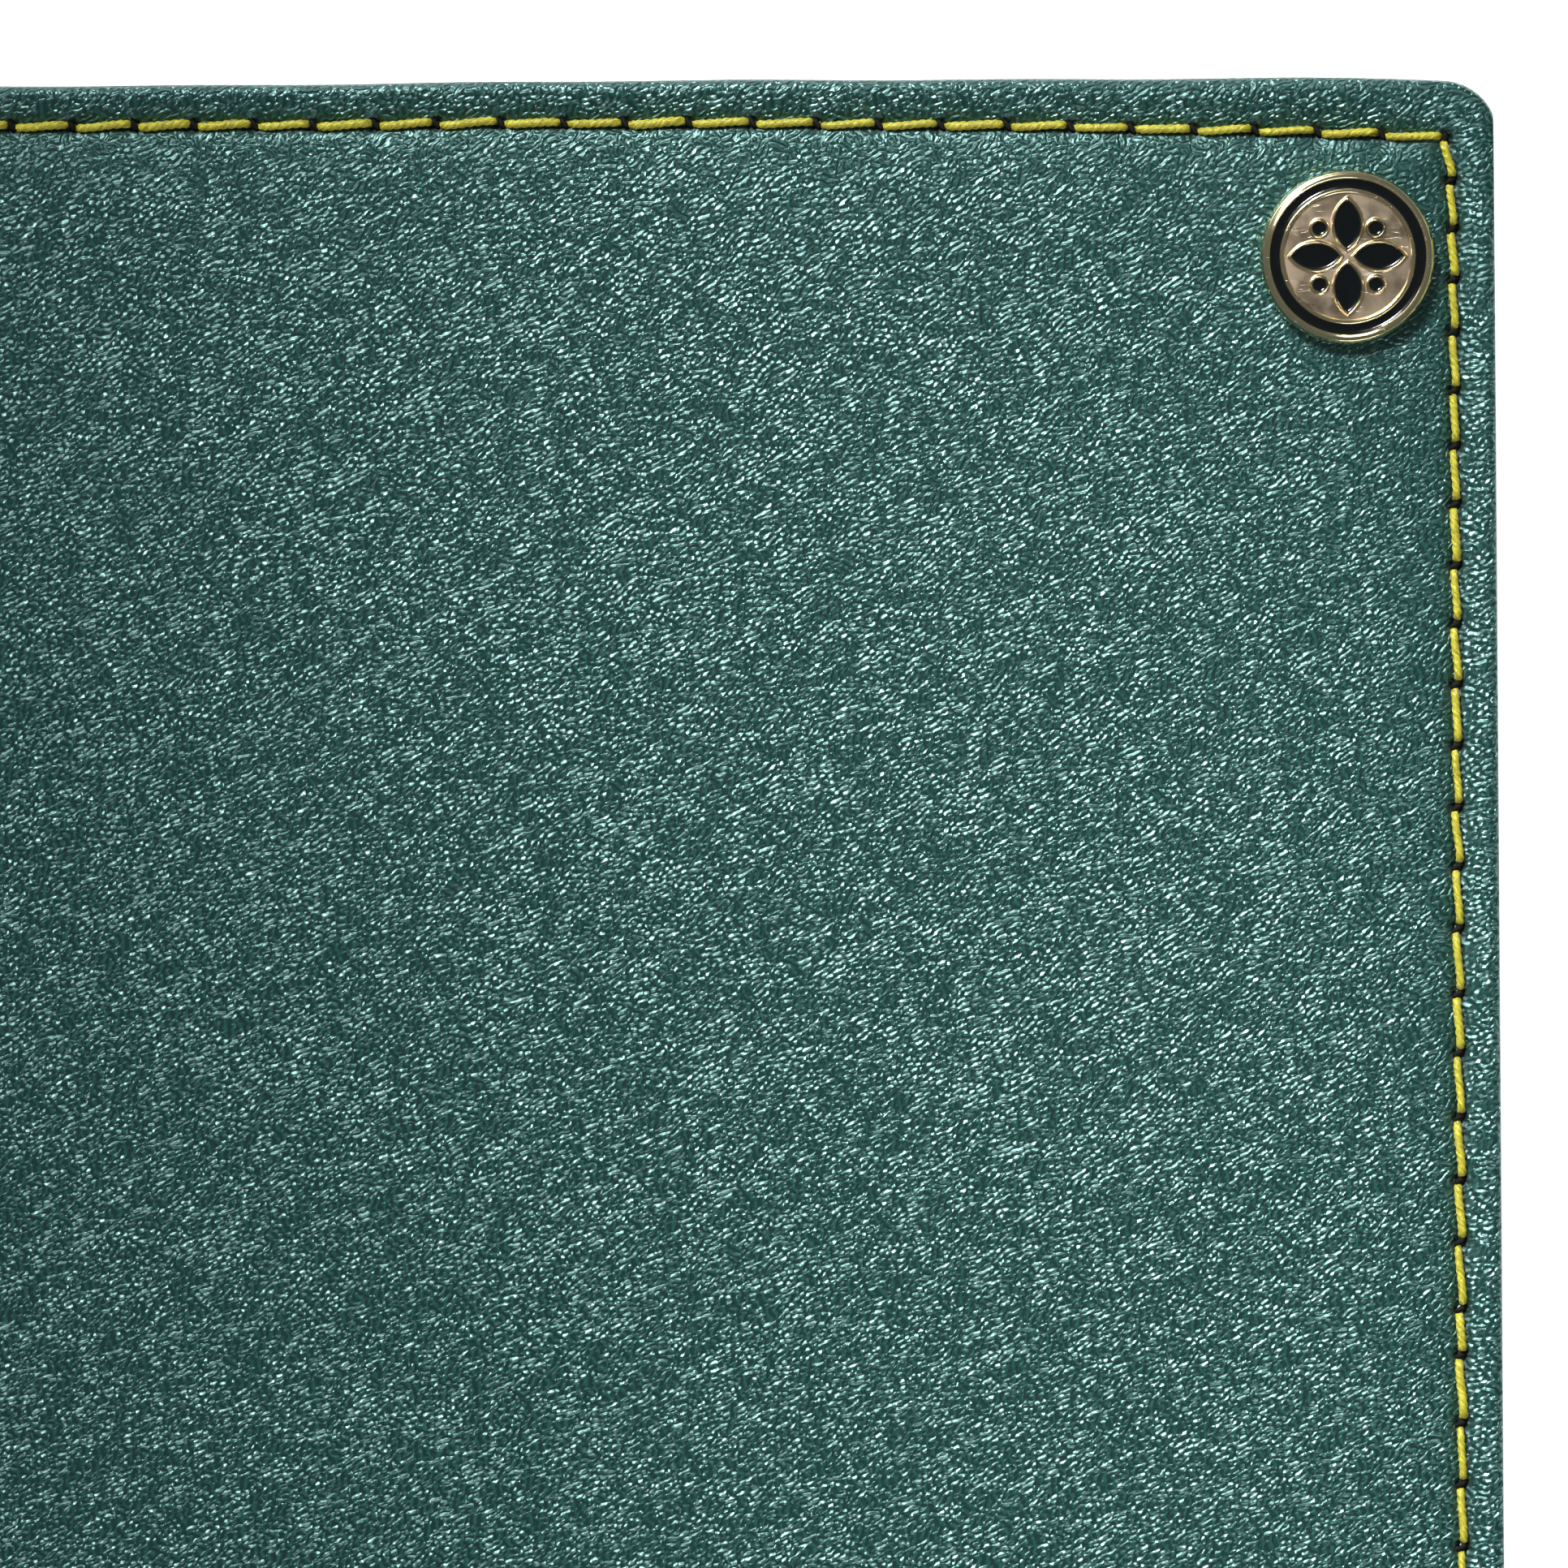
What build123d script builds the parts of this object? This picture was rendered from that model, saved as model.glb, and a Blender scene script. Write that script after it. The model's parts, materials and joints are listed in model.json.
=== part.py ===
"""Pocket notebook, closed, lying on its back cover.

A stitched leatherette case (front panel, spine, back panel, two flexible joints) holds a
thread-sewn block of eight folded sections between two pairs of endpapers. A round enamelled
metal badge is clenched through the front panel, near its head and fore-edge corner.

Row frame, millimetres: +Z up, X from the spine to the fore-edge, Y from tail to head.
The origin is the centre of the underside's bounding box.
"""

import os

from build123d import *

# ---------------------------------------------------------------- driving dimensions

LEAF_WIDTH = 105.0  # one leaf, fold to fore-edge
LEAF_HEIGHT = 148.0
SQUARE = 3.5  # how far the case overhangs the leaves
SECTIONS = 8
SECTION_THICKNESS = 1.2
PAPER = 0.15  # endpaper thickness
LEAF_GAP = 0.05  # air between neighbouring paper pieces

SKIN = 0.9  # leatherette
FOAM = 0.8
BOARD = 1.2
LINING = 0.4
SPINE_BOARD = 0.8
EDGE_WALL = 1.0  # leatherette turned down round the board's edge
POCKET_PLAY = 0.05

JOINT_WIDTH = 4.5  # flexible strip between the spine and each panel
JOINT_RISE = 1.0  # how far the flexible strip reaches down the spine
CORNER_RADIUS = 3.0
EDGE_ROUND = 0.85

STITCH_INSET = 2.6  # seam line, in from the case's edge
STITCH_PITCH = 3.9
STITCH_LENGTH = 3.3
THREAD = 0.5
CHANNEL_WIDTH = 0.9
CHANNEL_DEPTH = 0.6
THREAD_SINK = 0.05  # top of the seam below the leatherette's face

GAUZE = 0.3
FOLD_GAP = 0.9  # spine lining to the folds, filled by gauze, glue and sewing thread
SEWING_STATIONS = [-64.0, -39.0, -13.0, 13.0, 39.0, 64.0]
SEWING_THREAD = 0.5
BAND_RADIUS = 0.6

BADGE_RADIUS = 5.4
BADGE_FROM_EDGE = 9.15  # badge centre, in from the fore-edge
BADGE_FROM_HEAD = 11.2
BADGE_HEIGHT = 1.3
BADGE_FLOOR = 1.15  # height of the disc inside the enamel ring
BEAD = 0.12  # raised metal line beside each enamel field
RING_OUTER = 4.75
RING_INNER = 4.2
ENAMEL_DEPTH = 0.3
ENAMEL_FILL = 0.24
PETALS = 4
PETAL_INNER = 0.45
PETAL_OUTER = 3.45
PETAL_HALF_WIDTH = 0.8
DOT_RADIUS = 0.42
DOT_CIRCLE = 2.45
PRONG_OFFSET = 2.6
PRONG = (0.5, 1.6)  # prong thickness and width
PRONG_FOOT = 1.2
PRONG_PLAY = 0.1
WASHER_RADIUS = 4.3
WASHER = 0.3
WASHER_SEAT = 0.8  # depth of the seat in the underside of the board

# ---------------------------------------------------------------- derived sizes and levels

CASE_HEIGHT = LEAF_HEIGHT + 2 * SQUARE
REACH = FOLD_GAP + LEAF_WIDTH + SQUARE  # spine lining to fore-edge
SPINE_THICKNESS = SKIN + SPINE_BOARD + LINING
PANEL = SKIN + FOAM + BOARD + LINING
CASE_WIDTH = SPINE_THICKNESS + REACH

SPINE_X = -CASE_WIDTH / 2 + SPINE_THICKNESS  # inner face of the spine lining
PANEL_X = SPINE_X + JOINT_WIDTH
EDGE_X = SPINE_X + REACH
FOLD_X = SPINE_X + FOLD_GAP

BACK_INNER = PANEL  # back panel's inner face
BACK_HINGE = BACK_INNER + PAPER + LEAF_GAP / 2
BACK_FLYLEAF = BACK_HINGE + LEAF_GAP / 2
BLOCK_BASE = BACK_FLYLEAF + PAPER + LEAF_GAP
SECTION_PITCH = SECTION_THICKNESS + LEAF_GAP
FRONT_FLYLEAF = BLOCK_BASE + SECTIONS * SECTION_PITCH
FRONT_HINGE = FRONT_FLYLEAF + PAPER + LEAF_GAP / 2
FRONT_PASTEDOWN = FRONT_HINGE + LEAF_GAP / 2
FRONT_INNER = FRONT_PASTEDOWN + PAPER  # front panel's inner face
FRONT_TOP = FRONT_INNER + PANEL

SPINE_LOW = BACK_HINGE + JOINT_RISE
SPINE_HIGH = FRONT_HINGE - JOINT_RISE

BADGE_AT = (EDGE_X - BADGE_FROM_EDGE, CASE_HEIGHT / 2 - BADGE_FROM_HEAD)

os.makedirs("parts", exist_ok=True)
written = []


def save(name, part):
    """Labels a finished piece and writes its STEP file."""
    part.label = name
    export_step(part, f"parts/{name}.step")
    written.append(name)


# ---------------------------------------------------------------- shared outlines


def panel_face(z, inset=0.0):
    """A cover panel's outline at height z, with its two fore-edge corners rounded."""
    x_low = PANEL_X + inset
    x_high = EDGE_X - inset
    with BuildSketch(Plane.XY.offset(z)) as outline:
        with Locations(((x_low + x_high) / 2, 0)):
            Rectangle(x_high - x_low, CASE_HEIGHT - 2 * inset)
        fillet(outline.vertices().group_by(Axis.X)[-1], max(CORNER_RADIUS - inset, 0.5))
    return outline.sketch


def leaf_face(z, x_start=FOLD_X):
    """A leaf's outline at height z, from x_start to the leaves' fore-edge."""
    x_end = FOLD_X + LEAF_WIDTH
    with BuildSketch(Plane.XY.offset(z)) as outline:
        with Locations(((x_start + x_end) / 2, 0)):
            Rectangle(x_end - x_start, LEAF_HEIGHT)
        fillet(outline.vertices().group_by(Axis.X)[-1], CORNER_RADIUS)
    return outline.sketch


def seam_runs():
    """The seam on one panel: centre, direction in degrees and length of its three runs."""
    seam_y = CASE_HEIGHT / 2 - STITCH_INSET
    seam_x = EDGE_X - STITCH_INSET
    across = seam_x - PANEL_X
    return [
        ((PANEL_X + across / 2, seam_y), 0, across),
        ((seam_x, 0), 90, 2 * seam_y),
        ((PANEL_X + across / 2, -seam_y), 0, across),
    ]


def stitch_spots(length):
    """Centres of the stitches along a run of this length, measured from its middle."""
    count = int(length / STITCH_PITCH)
    return [(i - (count - 1) / 2) * STITCH_PITCH for i in range(count)]


def panel_thread(name, z, thickness):
    """The seam's stitches on one side of a panel, each a separate rounded bar."""
    with BuildPart() as thread:
        with BuildSketch(Plane.XY.offset(z)):
            for (x, y), turn, length in seam_runs():
                for along in stitch_spots(length):
                    dx, dy = (along, 0) if turn == 0 else (0, along)
                    with Locations(Location((x + dx, y + dy, 0), (0, 0, turn))):
                        SlotOverall(STITCH_LENGTH, THREAD)
        extrude(amount=thickness)
    save(name, thread.part)


# ---------------------------------------------------------------- cover panels


def prong_slots(z):
    """The outlines at height z of the two slots that the badge's prongs pass through."""
    with BuildSketch(Plane.XY.offset(z)) as slots:
        with Locations(BADGE_AT):
            with GridLocations(2 * PRONG_OFFSET, 0, 2, 1):
                Rectangle(PRONG[0] + 2 * PRONG_PLAY, PRONG[1] + 2 * PRONG_PLAY)
    return slots.sketch


def panel_skin(name, inner, outward, has_badge=False):
    """Leatherette of one panel: a shallow tray turned down round the board, with a seam channel."""
    outer = inner + outward * PANEL
    with BuildPart() as skin:
        add(extrude(panel_face(inner), amount=outward * PANEL, mode=Mode.PRIVATE))
        face = skin.faces().sort_by(Axis.Z)[-1 if outward > 0 else 0]
        fillet(face.edges(), EDGE_ROUND)
        pocket = extrude(
            panel_face(inner, EDGE_WALL), amount=outward * (PANEL - SKIN), mode=Mode.PRIVATE
        )
        add(pocket, mode=Mode.SUBTRACT)
        with BuildSketch(Plane.XY.offset(outer)):
            for spot, turn, length in seam_runs():
                with Locations(Location((*spot, 0), (0, 0, turn))):
                    Rectangle(length + CHANNEL_WIDTH, CHANNEL_WIDTH)
        extrude(amount=-outward * CHANNEL_DEPTH, mode=Mode.SUBTRACT)
        if has_badge:
            extrude(prong_slots(outer), amount=-SKIN, mode=Mode.SUBTRACT)
    save(name, skin.part)


def panel_layer(name, base, thickness, inset):
    """A flat layer in a panel's pocket, from height base up."""
    with BuildPart() as layer:
        add(extrude(panel_face(base, inset), amount=thickness, mode=Mode.PRIVATE))
    save(name, layer.part)


panel_skin("front_skin", FRONT_INNER, 1, has_badge=True)
panel_skin("back_skin", BACK_INNER, -1)

with BuildPart() as front_foam:
    add(
        extrude(
            panel_face(FRONT_TOP - SKIN, EDGE_WALL + POCKET_PLAY), amount=-FOAM, mode=Mode.PRIVATE
        )
    )
    extrude(prong_slots(FRONT_TOP - SKIN), amount=-FOAM, mode=Mode.SUBTRACT)
save("front_foam", front_foam.part)

with BuildPart() as front_board:
    board_base = FRONT_INNER + LINING
    add(
        extrude(
            panel_face(board_base, EDGE_WALL + POCKET_PLAY), amount=BOARD, mode=Mode.PRIVATE
        )
    )
    extrude(prong_slots(board_base + BOARD), amount=-BOARD, mode=Mode.SUBTRACT)
    with BuildSketch(Plane.XY.offset(board_base)):
        with Locations(BADGE_AT):
            Circle(WASHER_RADIUS + 2 * PRONG_PLAY)
    extrude(amount=WASHER_SEAT, mode=Mode.SUBTRACT)
save("front_board", front_board.part)

panel_layer("front_lining", FRONT_INNER, LINING, EDGE_WALL)
panel_layer("back_lining", BACK_INNER - LINING, LINING, EDGE_WALL)
panel_layer("back_board", SKIN + FOAM, BOARD, EDGE_WALL + POCKET_PLAY)
panel_layer("back_foam", SKIN, FOAM, EDGE_WALL + POCKET_PLAY)

# Needle thread lies in the outer channels, bobbin thread on the linings.
panel_thread("front_needle_thread", FRONT_TOP - THREAD_SINK - THREAD, THREAD)
panel_thread("front_bobbin_thread", FRONT_INNER, -THREAD)
panel_thread("back_needle_thread", THREAD_SINK, THREAD)
panel_thread("back_bobbin_thread", BACK_INNER, THREAD)

# ---------------------------------------------------------------- flexible joints


def joint_strip(name, inner, outward, spine_end):
    """Leatherette and lining folded round one long edge of the spine, drawn as one strip."""
    leather = SKIN + LINING
    with BuildPart() as strip:
        with BuildSketch(Plane.XZ.offset(-CASE_HEIGHT / 2)) as profile:
            with BuildLine():
                Polyline(
                    (SPINE_X, spine_end),
                    (SPINE_X, inner),
                    (PANEL_X, inner),
                    (PANEL_X, inner + outward * leather),
                    (SPINE_X - SPINE_THICKNESS, inner + outward * leather),
                    (SPINE_X - SPINE_THICKNESS, spine_end),
                    close=True,
                )
            make_face()
            outer = profile.vertices().group_by(Axis.X)[0].sort_by(Axis.Y)
            fillet(outer[-1 if outward > 0 else 0], leather)
        extrude(amount=CASE_HEIGHT)
    save(name, strip.part)


joint_strip("front_joint_leather", FRONT_INNER, 1, SPINE_HIGH)
joint_strip("back_joint_leather", BACK_INNER, -1, SPINE_LOW)

# ---------------------------------------------------------------- spine

SPINE_MIDDLE = (SPINE_LOW + SPINE_HIGH) / 2
SPINE_SPAN = SPINE_HIGH - SPINE_LOW
SEAM_Y = CASE_HEIGHT / 2 - STITCH_INSET


def spine_face(x, height, span=SPINE_SPAN):
    """A rectangle across the spine at this x, facing the fore-edge."""
    with BuildSketch(Plane(origin=(x, 0, SPINE_MIDDLE), x_dir=(0, 1, 0), z_dir=(1, 0, 0))) as face:
        Rectangle(height, span)
    return face.sketch


def spine_thread(name, x):
    """The seam's stitches across the head and tail of the spine, from this x towards the block."""
    with BuildPart() as thread:
        plane = Plane(origin=(x, 0, SPINE_MIDDLE), x_dir=(0, 1, 0), z_dir=(1, 0, 0))
        with BuildSketch(plane):
            for along in stitch_spots(SPINE_SPAN):
                with GridLocations(2 * SEAM_Y, 0, 2, 1):
                    with Locations(Location((0, along, 0), (0, 0, 90))):
                        SlotOverall(STITCH_LENGTH, THREAD)
        extrude(amount=THREAD)
    save(name, thread.part)


with BuildPart() as spine_skin:
    spine_outer = SPINE_X - SPINE_THICKNESS
    add(extrude(spine_face(spine_outer, CASE_HEIGHT), amount=SPINE_THICKNESS, mode=Mode.PRIVATE))
    outer_edges = spine_skin.faces().sort_by(Axis.X)[0].edges().filter_by(Axis.Z)
    fillet(outer_edges, EDGE_ROUND)
    pocket = extrude(
        spine_face(SPINE_X, CASE_HEIGHT - 2 * EDGE_WALL),
        amount=-(SPINE_THICKNESS - SKIN),
        mode=Mode.PRIVATE,
    )
    add(pocket, mode=Mode.SUBTRACT)
    with BuildSketch(Plane(origin=(spine_outer, 0, SPINE_MIDDLE), x_dir=(0, 1, 0), z_dir=(1, 0, 0))):
        with GridLocations(2 * SEAM_Y, 0, 2, 1):
            Rectangle(CHANNEL_WIDTH, SPINE_SPAN)
    extrude(amount=CHANNEL_DEPTH, mode=Mode.SUBTRACT)
save("spine_skin", spine_skin.part)

with BuildPart() as spine_board:
    length = CASE_HEIGHT - 2 * (EDGE_WALL + POCKET_PLAY)
    x = SPINE_X - LINING - SPINE_BOARD
    add(extrude(spine_face(x, length), amount=SPINE_BOARD, mode=Mode.PRIVATE))
save("spine_board", spine_board.part)

with BuildPart() as spine_lining:
    length = CASE_HEIGHT - 2 * EDGE_WALL
    add(extrude(spine_face(SPINE_X - LINING, length), amount=LINING, mode=Mode.PRIVATE))
save("spine_lining", spine_lining.part)

spine_thread("spine_needle_thread", SPINE_X - SPINE_THICKNESS + THREAD_SINK)
spine_thread("spine_bobbin_thread", SPINE_X)

# Gauze covers the folds between the two end bands.
GAUZE_HEIGHT = 132.0

with BuildPart() as spine_gauze:
    add(extrude(spine_face(SPINE_X, GAUZE_HEIGHT), amount=GAUZE, mode=Mode.PRIVATE))
save("spine_gauze", spine_gauze.part)

with BuildPart() as binding_thread:
    station_x = SPINE_X + GAUZE + SEWING_THREAD / 2
    with BuildSketch(Plane.XY.offset(SPINE_LOW)):
        with Locations(*[(station_x, y) for y in SEWING_STATIONS]):
            Circle(SEWING_THREAD / 2)
    extrude(amount=SPINE_SPAN)
save("binding_thread", binding_thread.part)


def end_band(name, side):
    """Woven bead at one end of the folds, on a tongue that is glued in beside the gauze."""
    end = LEAF_HEIGHT / 2 + LEAF_GAP
    tongue_start = GAUZE_HEIGHT / 2 + 1.0
    bead_x = FOLD_X + BAND_RADIUS / 2
    with BuildPart() as band:
        with BuildSketch(Plane.XY.offset(SPINE_LOW)):
            with Locations((SPINE_X + GAUZE / 2, side * (tongue_start + end + GAUZE) / 2)):
                Rectangle(GAUZE, end + GAUZE - tongue_start)
            with Locations(((SPINE_X + bead_x) / 2, side * (end + GAUZE / 2))):
                Rectangle(bead_x - SPINE_X, GAUZE)
            with Locations((bead_x, side * (end + BAND_RADIUS))):
                Circle(BAND_RADIUS)
        extrude(amount=SPINE_SPAN)
    save(name, band.part)


end_band("head_band", 1)
end_band("tail_band", -1)

# ---------------------------------------------------------------- endpapers and sections


def paper_sheet(name, z, x_start=FOLD_X):
    """One leaf of an endpaper."""
    with BuildPart() as sheet:
        add(extrude(leaf_face(z, x_start), amount=PAPER, mode=Mode.PRIVATE))
    save(name, sheet.part)


PASTEDOWN_X = SPINE_X + 1.0

paper_sheet("front_pastedown", FRONT_PASTEDOWN, PASTEDOWN_X)
paper_sheet("front_flyleaf", FRONT_FLYLEAF)
paper_sheet("back_flyleaf", BACK_FLYLEAF)
paper_sheet("back_pastedown", BACK_INNER, PASTEDOWN_X)


def section(number):
    """A gathering of nested folded sheets, its fold rounded along the spine. 1 is the front one."""
    base = BLOCK_BASE + (SECTIONS - number) * SECTION_PITCH
    with BuildPart() as gathering:
        add(extrude(leaf_face(base), amount=SECTION_THICKNESS, mode=Mode.PRIVATE))
        fold = gathering.faces().sort_by(Axis.X)[0].edges().filter_by(Axis.Y)
        fillet(fold, 0.45 * SECTION_THICKNESS)
    save(f"section_{number}", gathering.part)


for number in range(1, SECTIONS + 1):
    section(number)

# ---------------------------------------------------------------- badge


def badge_plane(height):
    """A plane across the badge, this far above the front leatherette."""
    return Plane(origin=(*BADGE_AT, FRONT_TOP + height))


def emblem(grow=0.0):
    """The emblem's enamel fields as one sketch: pointed ovals and dots, each grown by this much."""
    middle = (PETAL_OUTER + PETAL_INNER) / 2
    with BuildSketch() as one_petal:
        with BuildLine():
            ThreePointArc((PETAL_INNER, 0), (middle, PETAL_HALF_WIDTH), (PETAL_OUTER, 0))
            ThreePointArc((PETAL_OUTER, 0), (middle, -PETAL_HALF_WIDTH), (PETAL_INNER, 0))
        make_face()
        if grow:
            offset(amount=grow, kind=Kind.INTERSECTION)
    with BuildSketch() as fields:
        with PolarLocations(0, PETALS, start_angle=90):
            add(one_petal.sketch)
        with PolarLocations(DOT_CIRCLE, PETALS, start_angle=90 + 180 / PETALS):
            Circle(DOT_RADIUS + grow)
    return fields.sketch


with BuildPart() as badge_body:
    profile_plane = Plane(origin=(*BADGE_AT, FRONT_TOP), x_dir=(1, 0, 0), z_dir=(0, -1, 0))
    with BuildSketch(profile_plane):
        with BuildLine():
            Polyline(
                (0, 0),
                (BADGE_RADIUS - 0.1, 0),
                (BADGE_RADIUS, 0.25),
                (BADGE_RADIUS, 0.75),
                (BADGE_RADIUS - 0.25, BADGE_HEIGHT),
                (RING_OUTER, BADGE_HEIGHT),
                (RING_OUTER, BADGE_HEIGHT - ENAMEL_DEPTH),
                (RING_INNER, BADGE_HEIGHT - ENAMEL_DEPTH),
                (RING_INNER, BADGE_HEIGHT),
                (RING_INNER - BEAD, BADGE_HEIGHT),
                (RING_INNER - 1.5 * BEAD, BADGE_FLOOR),
                (0, BADGE_FLOOR),
                close=True,
            )
        make_face()
    revolve(axis=Axis((*BADGE_AT, 0), (0, 0, 1)))
    with BuildSketch(badge_plane(BADGE_FLOOR)):
        add(emblem(BEAD))
        add(emblem(), mode=Mode.SUBTRACT)
    extrude(amount=BADGE_HEIGHT - BADGE_FLOOR)
    with BuildSketch(badge_plane(BADGE_FLOOR)):
        add(emblem())
    extrude(amount=-ENAMEL_DEPTH, mode=Mode.SUBTRACT)
    foot_z = FRONT_INNER + LINING + POCKET_PLAY
    with BuildSketch(badge_plane(0)):
        with GridLocations(2 * PRONG_OFFSET, 0, 2, 1):
            Rectangle(*PRONG)
    extrude(amount=-(FRONT_TOP - foot_z))
    with BuildSketch(Plane(origin=(*BADGE_AT, foot_z))):
        with GridLocations(2 * PRONG_OFFSET + PRONG_FOOT, 0, 2, 1):
            Rectangle(PRONG[0] + PRONG_FOOT, PRONG[1])
    extrude(amount=WASHER_SEAT - WASHER - 2 * POCKET_PLAY)
save("badge_body", badge_body.part)

with BuildPart() as badge_ring_enamel:
    with BuildSketch(badge_plane(BADGE_HEIGHT - ENAMEL_DEPTH)):
        Circle(RING_OUTER)
        Circle(RING_INNER, mode=Mode.SUBTRACT)
    extrude(amount=ENAMEL_FILL)
save("badge_ring_enamel", badge_ring_enamel.part)

with BuildPart() as badge_emblem_enamel:
    with BuildSketch(badge_plane(BADGE_FLOOR - ENAMEL_DEPTH)):
        add(emblem())
    extrude(amount=ENAMEL_FILL + BADGE_HEIGHT - BADGE_FLOOR)
save("badge_emblem_enamel", badge_emblem_enamel.part)

with BuildPart() as badge_washer:
    seat_top = FRONT_INNER + LINING + WASHER_SEAT
    with BuildSketch(Plane(origin=(*BADGE_AT, seat_top))):
        Circle(WASHER_RADIUS)
        with GridLocations(2 * PRONG_OFFSET, 0, 2, 1):
            Rectangle(
                PRONG[0] + 2 * PRONG_PLAY, PRONG[1] + 2 * PRONG_PLAY, mode=Mode.SUBTRACT
            )
    extrude(amount=-WASHER)
save("badge_washer", badge_washer.part)

print(f"{len(written)} nodes")
print(f"case {CASE_WIDTH:.2f} x {CASE_HEIGHT:.2f}, front face at {FRONT_TOP:.3f}")
print(f"spine x {SPINE_X:.3f}, hinges z {BACK_HINGE:.3f} and {FRONT_HINGE:.3f}")
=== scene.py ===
"""Pocket notebook: the looks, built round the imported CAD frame.

Lengths are in millimetres until a mesh is made. +X points to the fore-edge, +Y to the head and +Z up out
of the front cover."""
import json
import math

import bpy
import numpy as np
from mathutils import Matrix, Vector


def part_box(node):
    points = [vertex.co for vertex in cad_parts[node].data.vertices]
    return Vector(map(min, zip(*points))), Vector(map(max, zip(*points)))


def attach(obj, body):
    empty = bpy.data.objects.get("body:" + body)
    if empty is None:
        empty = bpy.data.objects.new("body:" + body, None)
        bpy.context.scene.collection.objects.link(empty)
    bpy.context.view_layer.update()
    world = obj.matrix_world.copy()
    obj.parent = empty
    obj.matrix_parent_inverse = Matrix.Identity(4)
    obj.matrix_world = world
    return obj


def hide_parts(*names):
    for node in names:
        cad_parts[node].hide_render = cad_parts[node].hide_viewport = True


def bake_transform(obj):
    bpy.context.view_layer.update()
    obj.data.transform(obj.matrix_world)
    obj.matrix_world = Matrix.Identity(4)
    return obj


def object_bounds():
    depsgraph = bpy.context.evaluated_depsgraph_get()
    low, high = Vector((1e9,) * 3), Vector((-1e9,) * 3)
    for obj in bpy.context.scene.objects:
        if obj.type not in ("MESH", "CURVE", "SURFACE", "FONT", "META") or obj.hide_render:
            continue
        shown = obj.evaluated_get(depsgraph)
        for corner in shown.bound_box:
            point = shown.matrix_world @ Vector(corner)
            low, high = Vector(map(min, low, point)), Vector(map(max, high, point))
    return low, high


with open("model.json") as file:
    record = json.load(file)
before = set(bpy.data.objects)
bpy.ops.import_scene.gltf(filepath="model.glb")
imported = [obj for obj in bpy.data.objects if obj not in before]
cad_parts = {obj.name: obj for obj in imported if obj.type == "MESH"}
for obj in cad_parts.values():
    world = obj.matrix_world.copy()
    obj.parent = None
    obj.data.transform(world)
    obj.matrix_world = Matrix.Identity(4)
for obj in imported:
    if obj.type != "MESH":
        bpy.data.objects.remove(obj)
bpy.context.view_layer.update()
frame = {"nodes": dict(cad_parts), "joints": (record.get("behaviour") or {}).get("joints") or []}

MM = 0.001


def node_box(name):
    """A CAD node's lowest and highest corners, in millimetres."""
    low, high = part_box(name)
    return np.array(low) / MM, np.array(high) / MM


# ---------------------------------------------------------------- sizes read from the frame

skin_low, skin_high = node_box("front_skin")
spine_low, spine_high = node_box("spine_skin")

PANEL_X, EDGE_X = skin_low[0], skin_high[0]
HALF_Y = skin_high[1]
INNER_Z, TOP_Z = skin_low[2], skin_high[2]
MIDDLE_Z = TOP_Z / 2
STRIP_Z = node_box("front_joint_leather")[1][2]
SPINE_OUT, SPINE_IN = spine_low[0], spine_high[0]
FRONT_HINGE = next(j for j in frame["joints"] if j["name"] == "front_joint")["pos_m"][2] / MM
BACK_HINGE = next(j for j in frame["joints"] if j["name"] == "back_joint")["pos_m"][2] / MM

CORNER_R = 3.0
SKIN = 0.9
LINING = 0.4
PANEL_H = TOP_Z - INNER_Z
STRIP_H = STRIP_Z - INNER_Z
SPINE_H = SPINE_IN - SPINE_OUT

SEAM_DEPTH = 0.6
PITCH = 3.9
THREAD_R = 0.27

rng = np.random.default_rng(7)

# ---------------------------------------------------------------- node helpers


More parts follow.
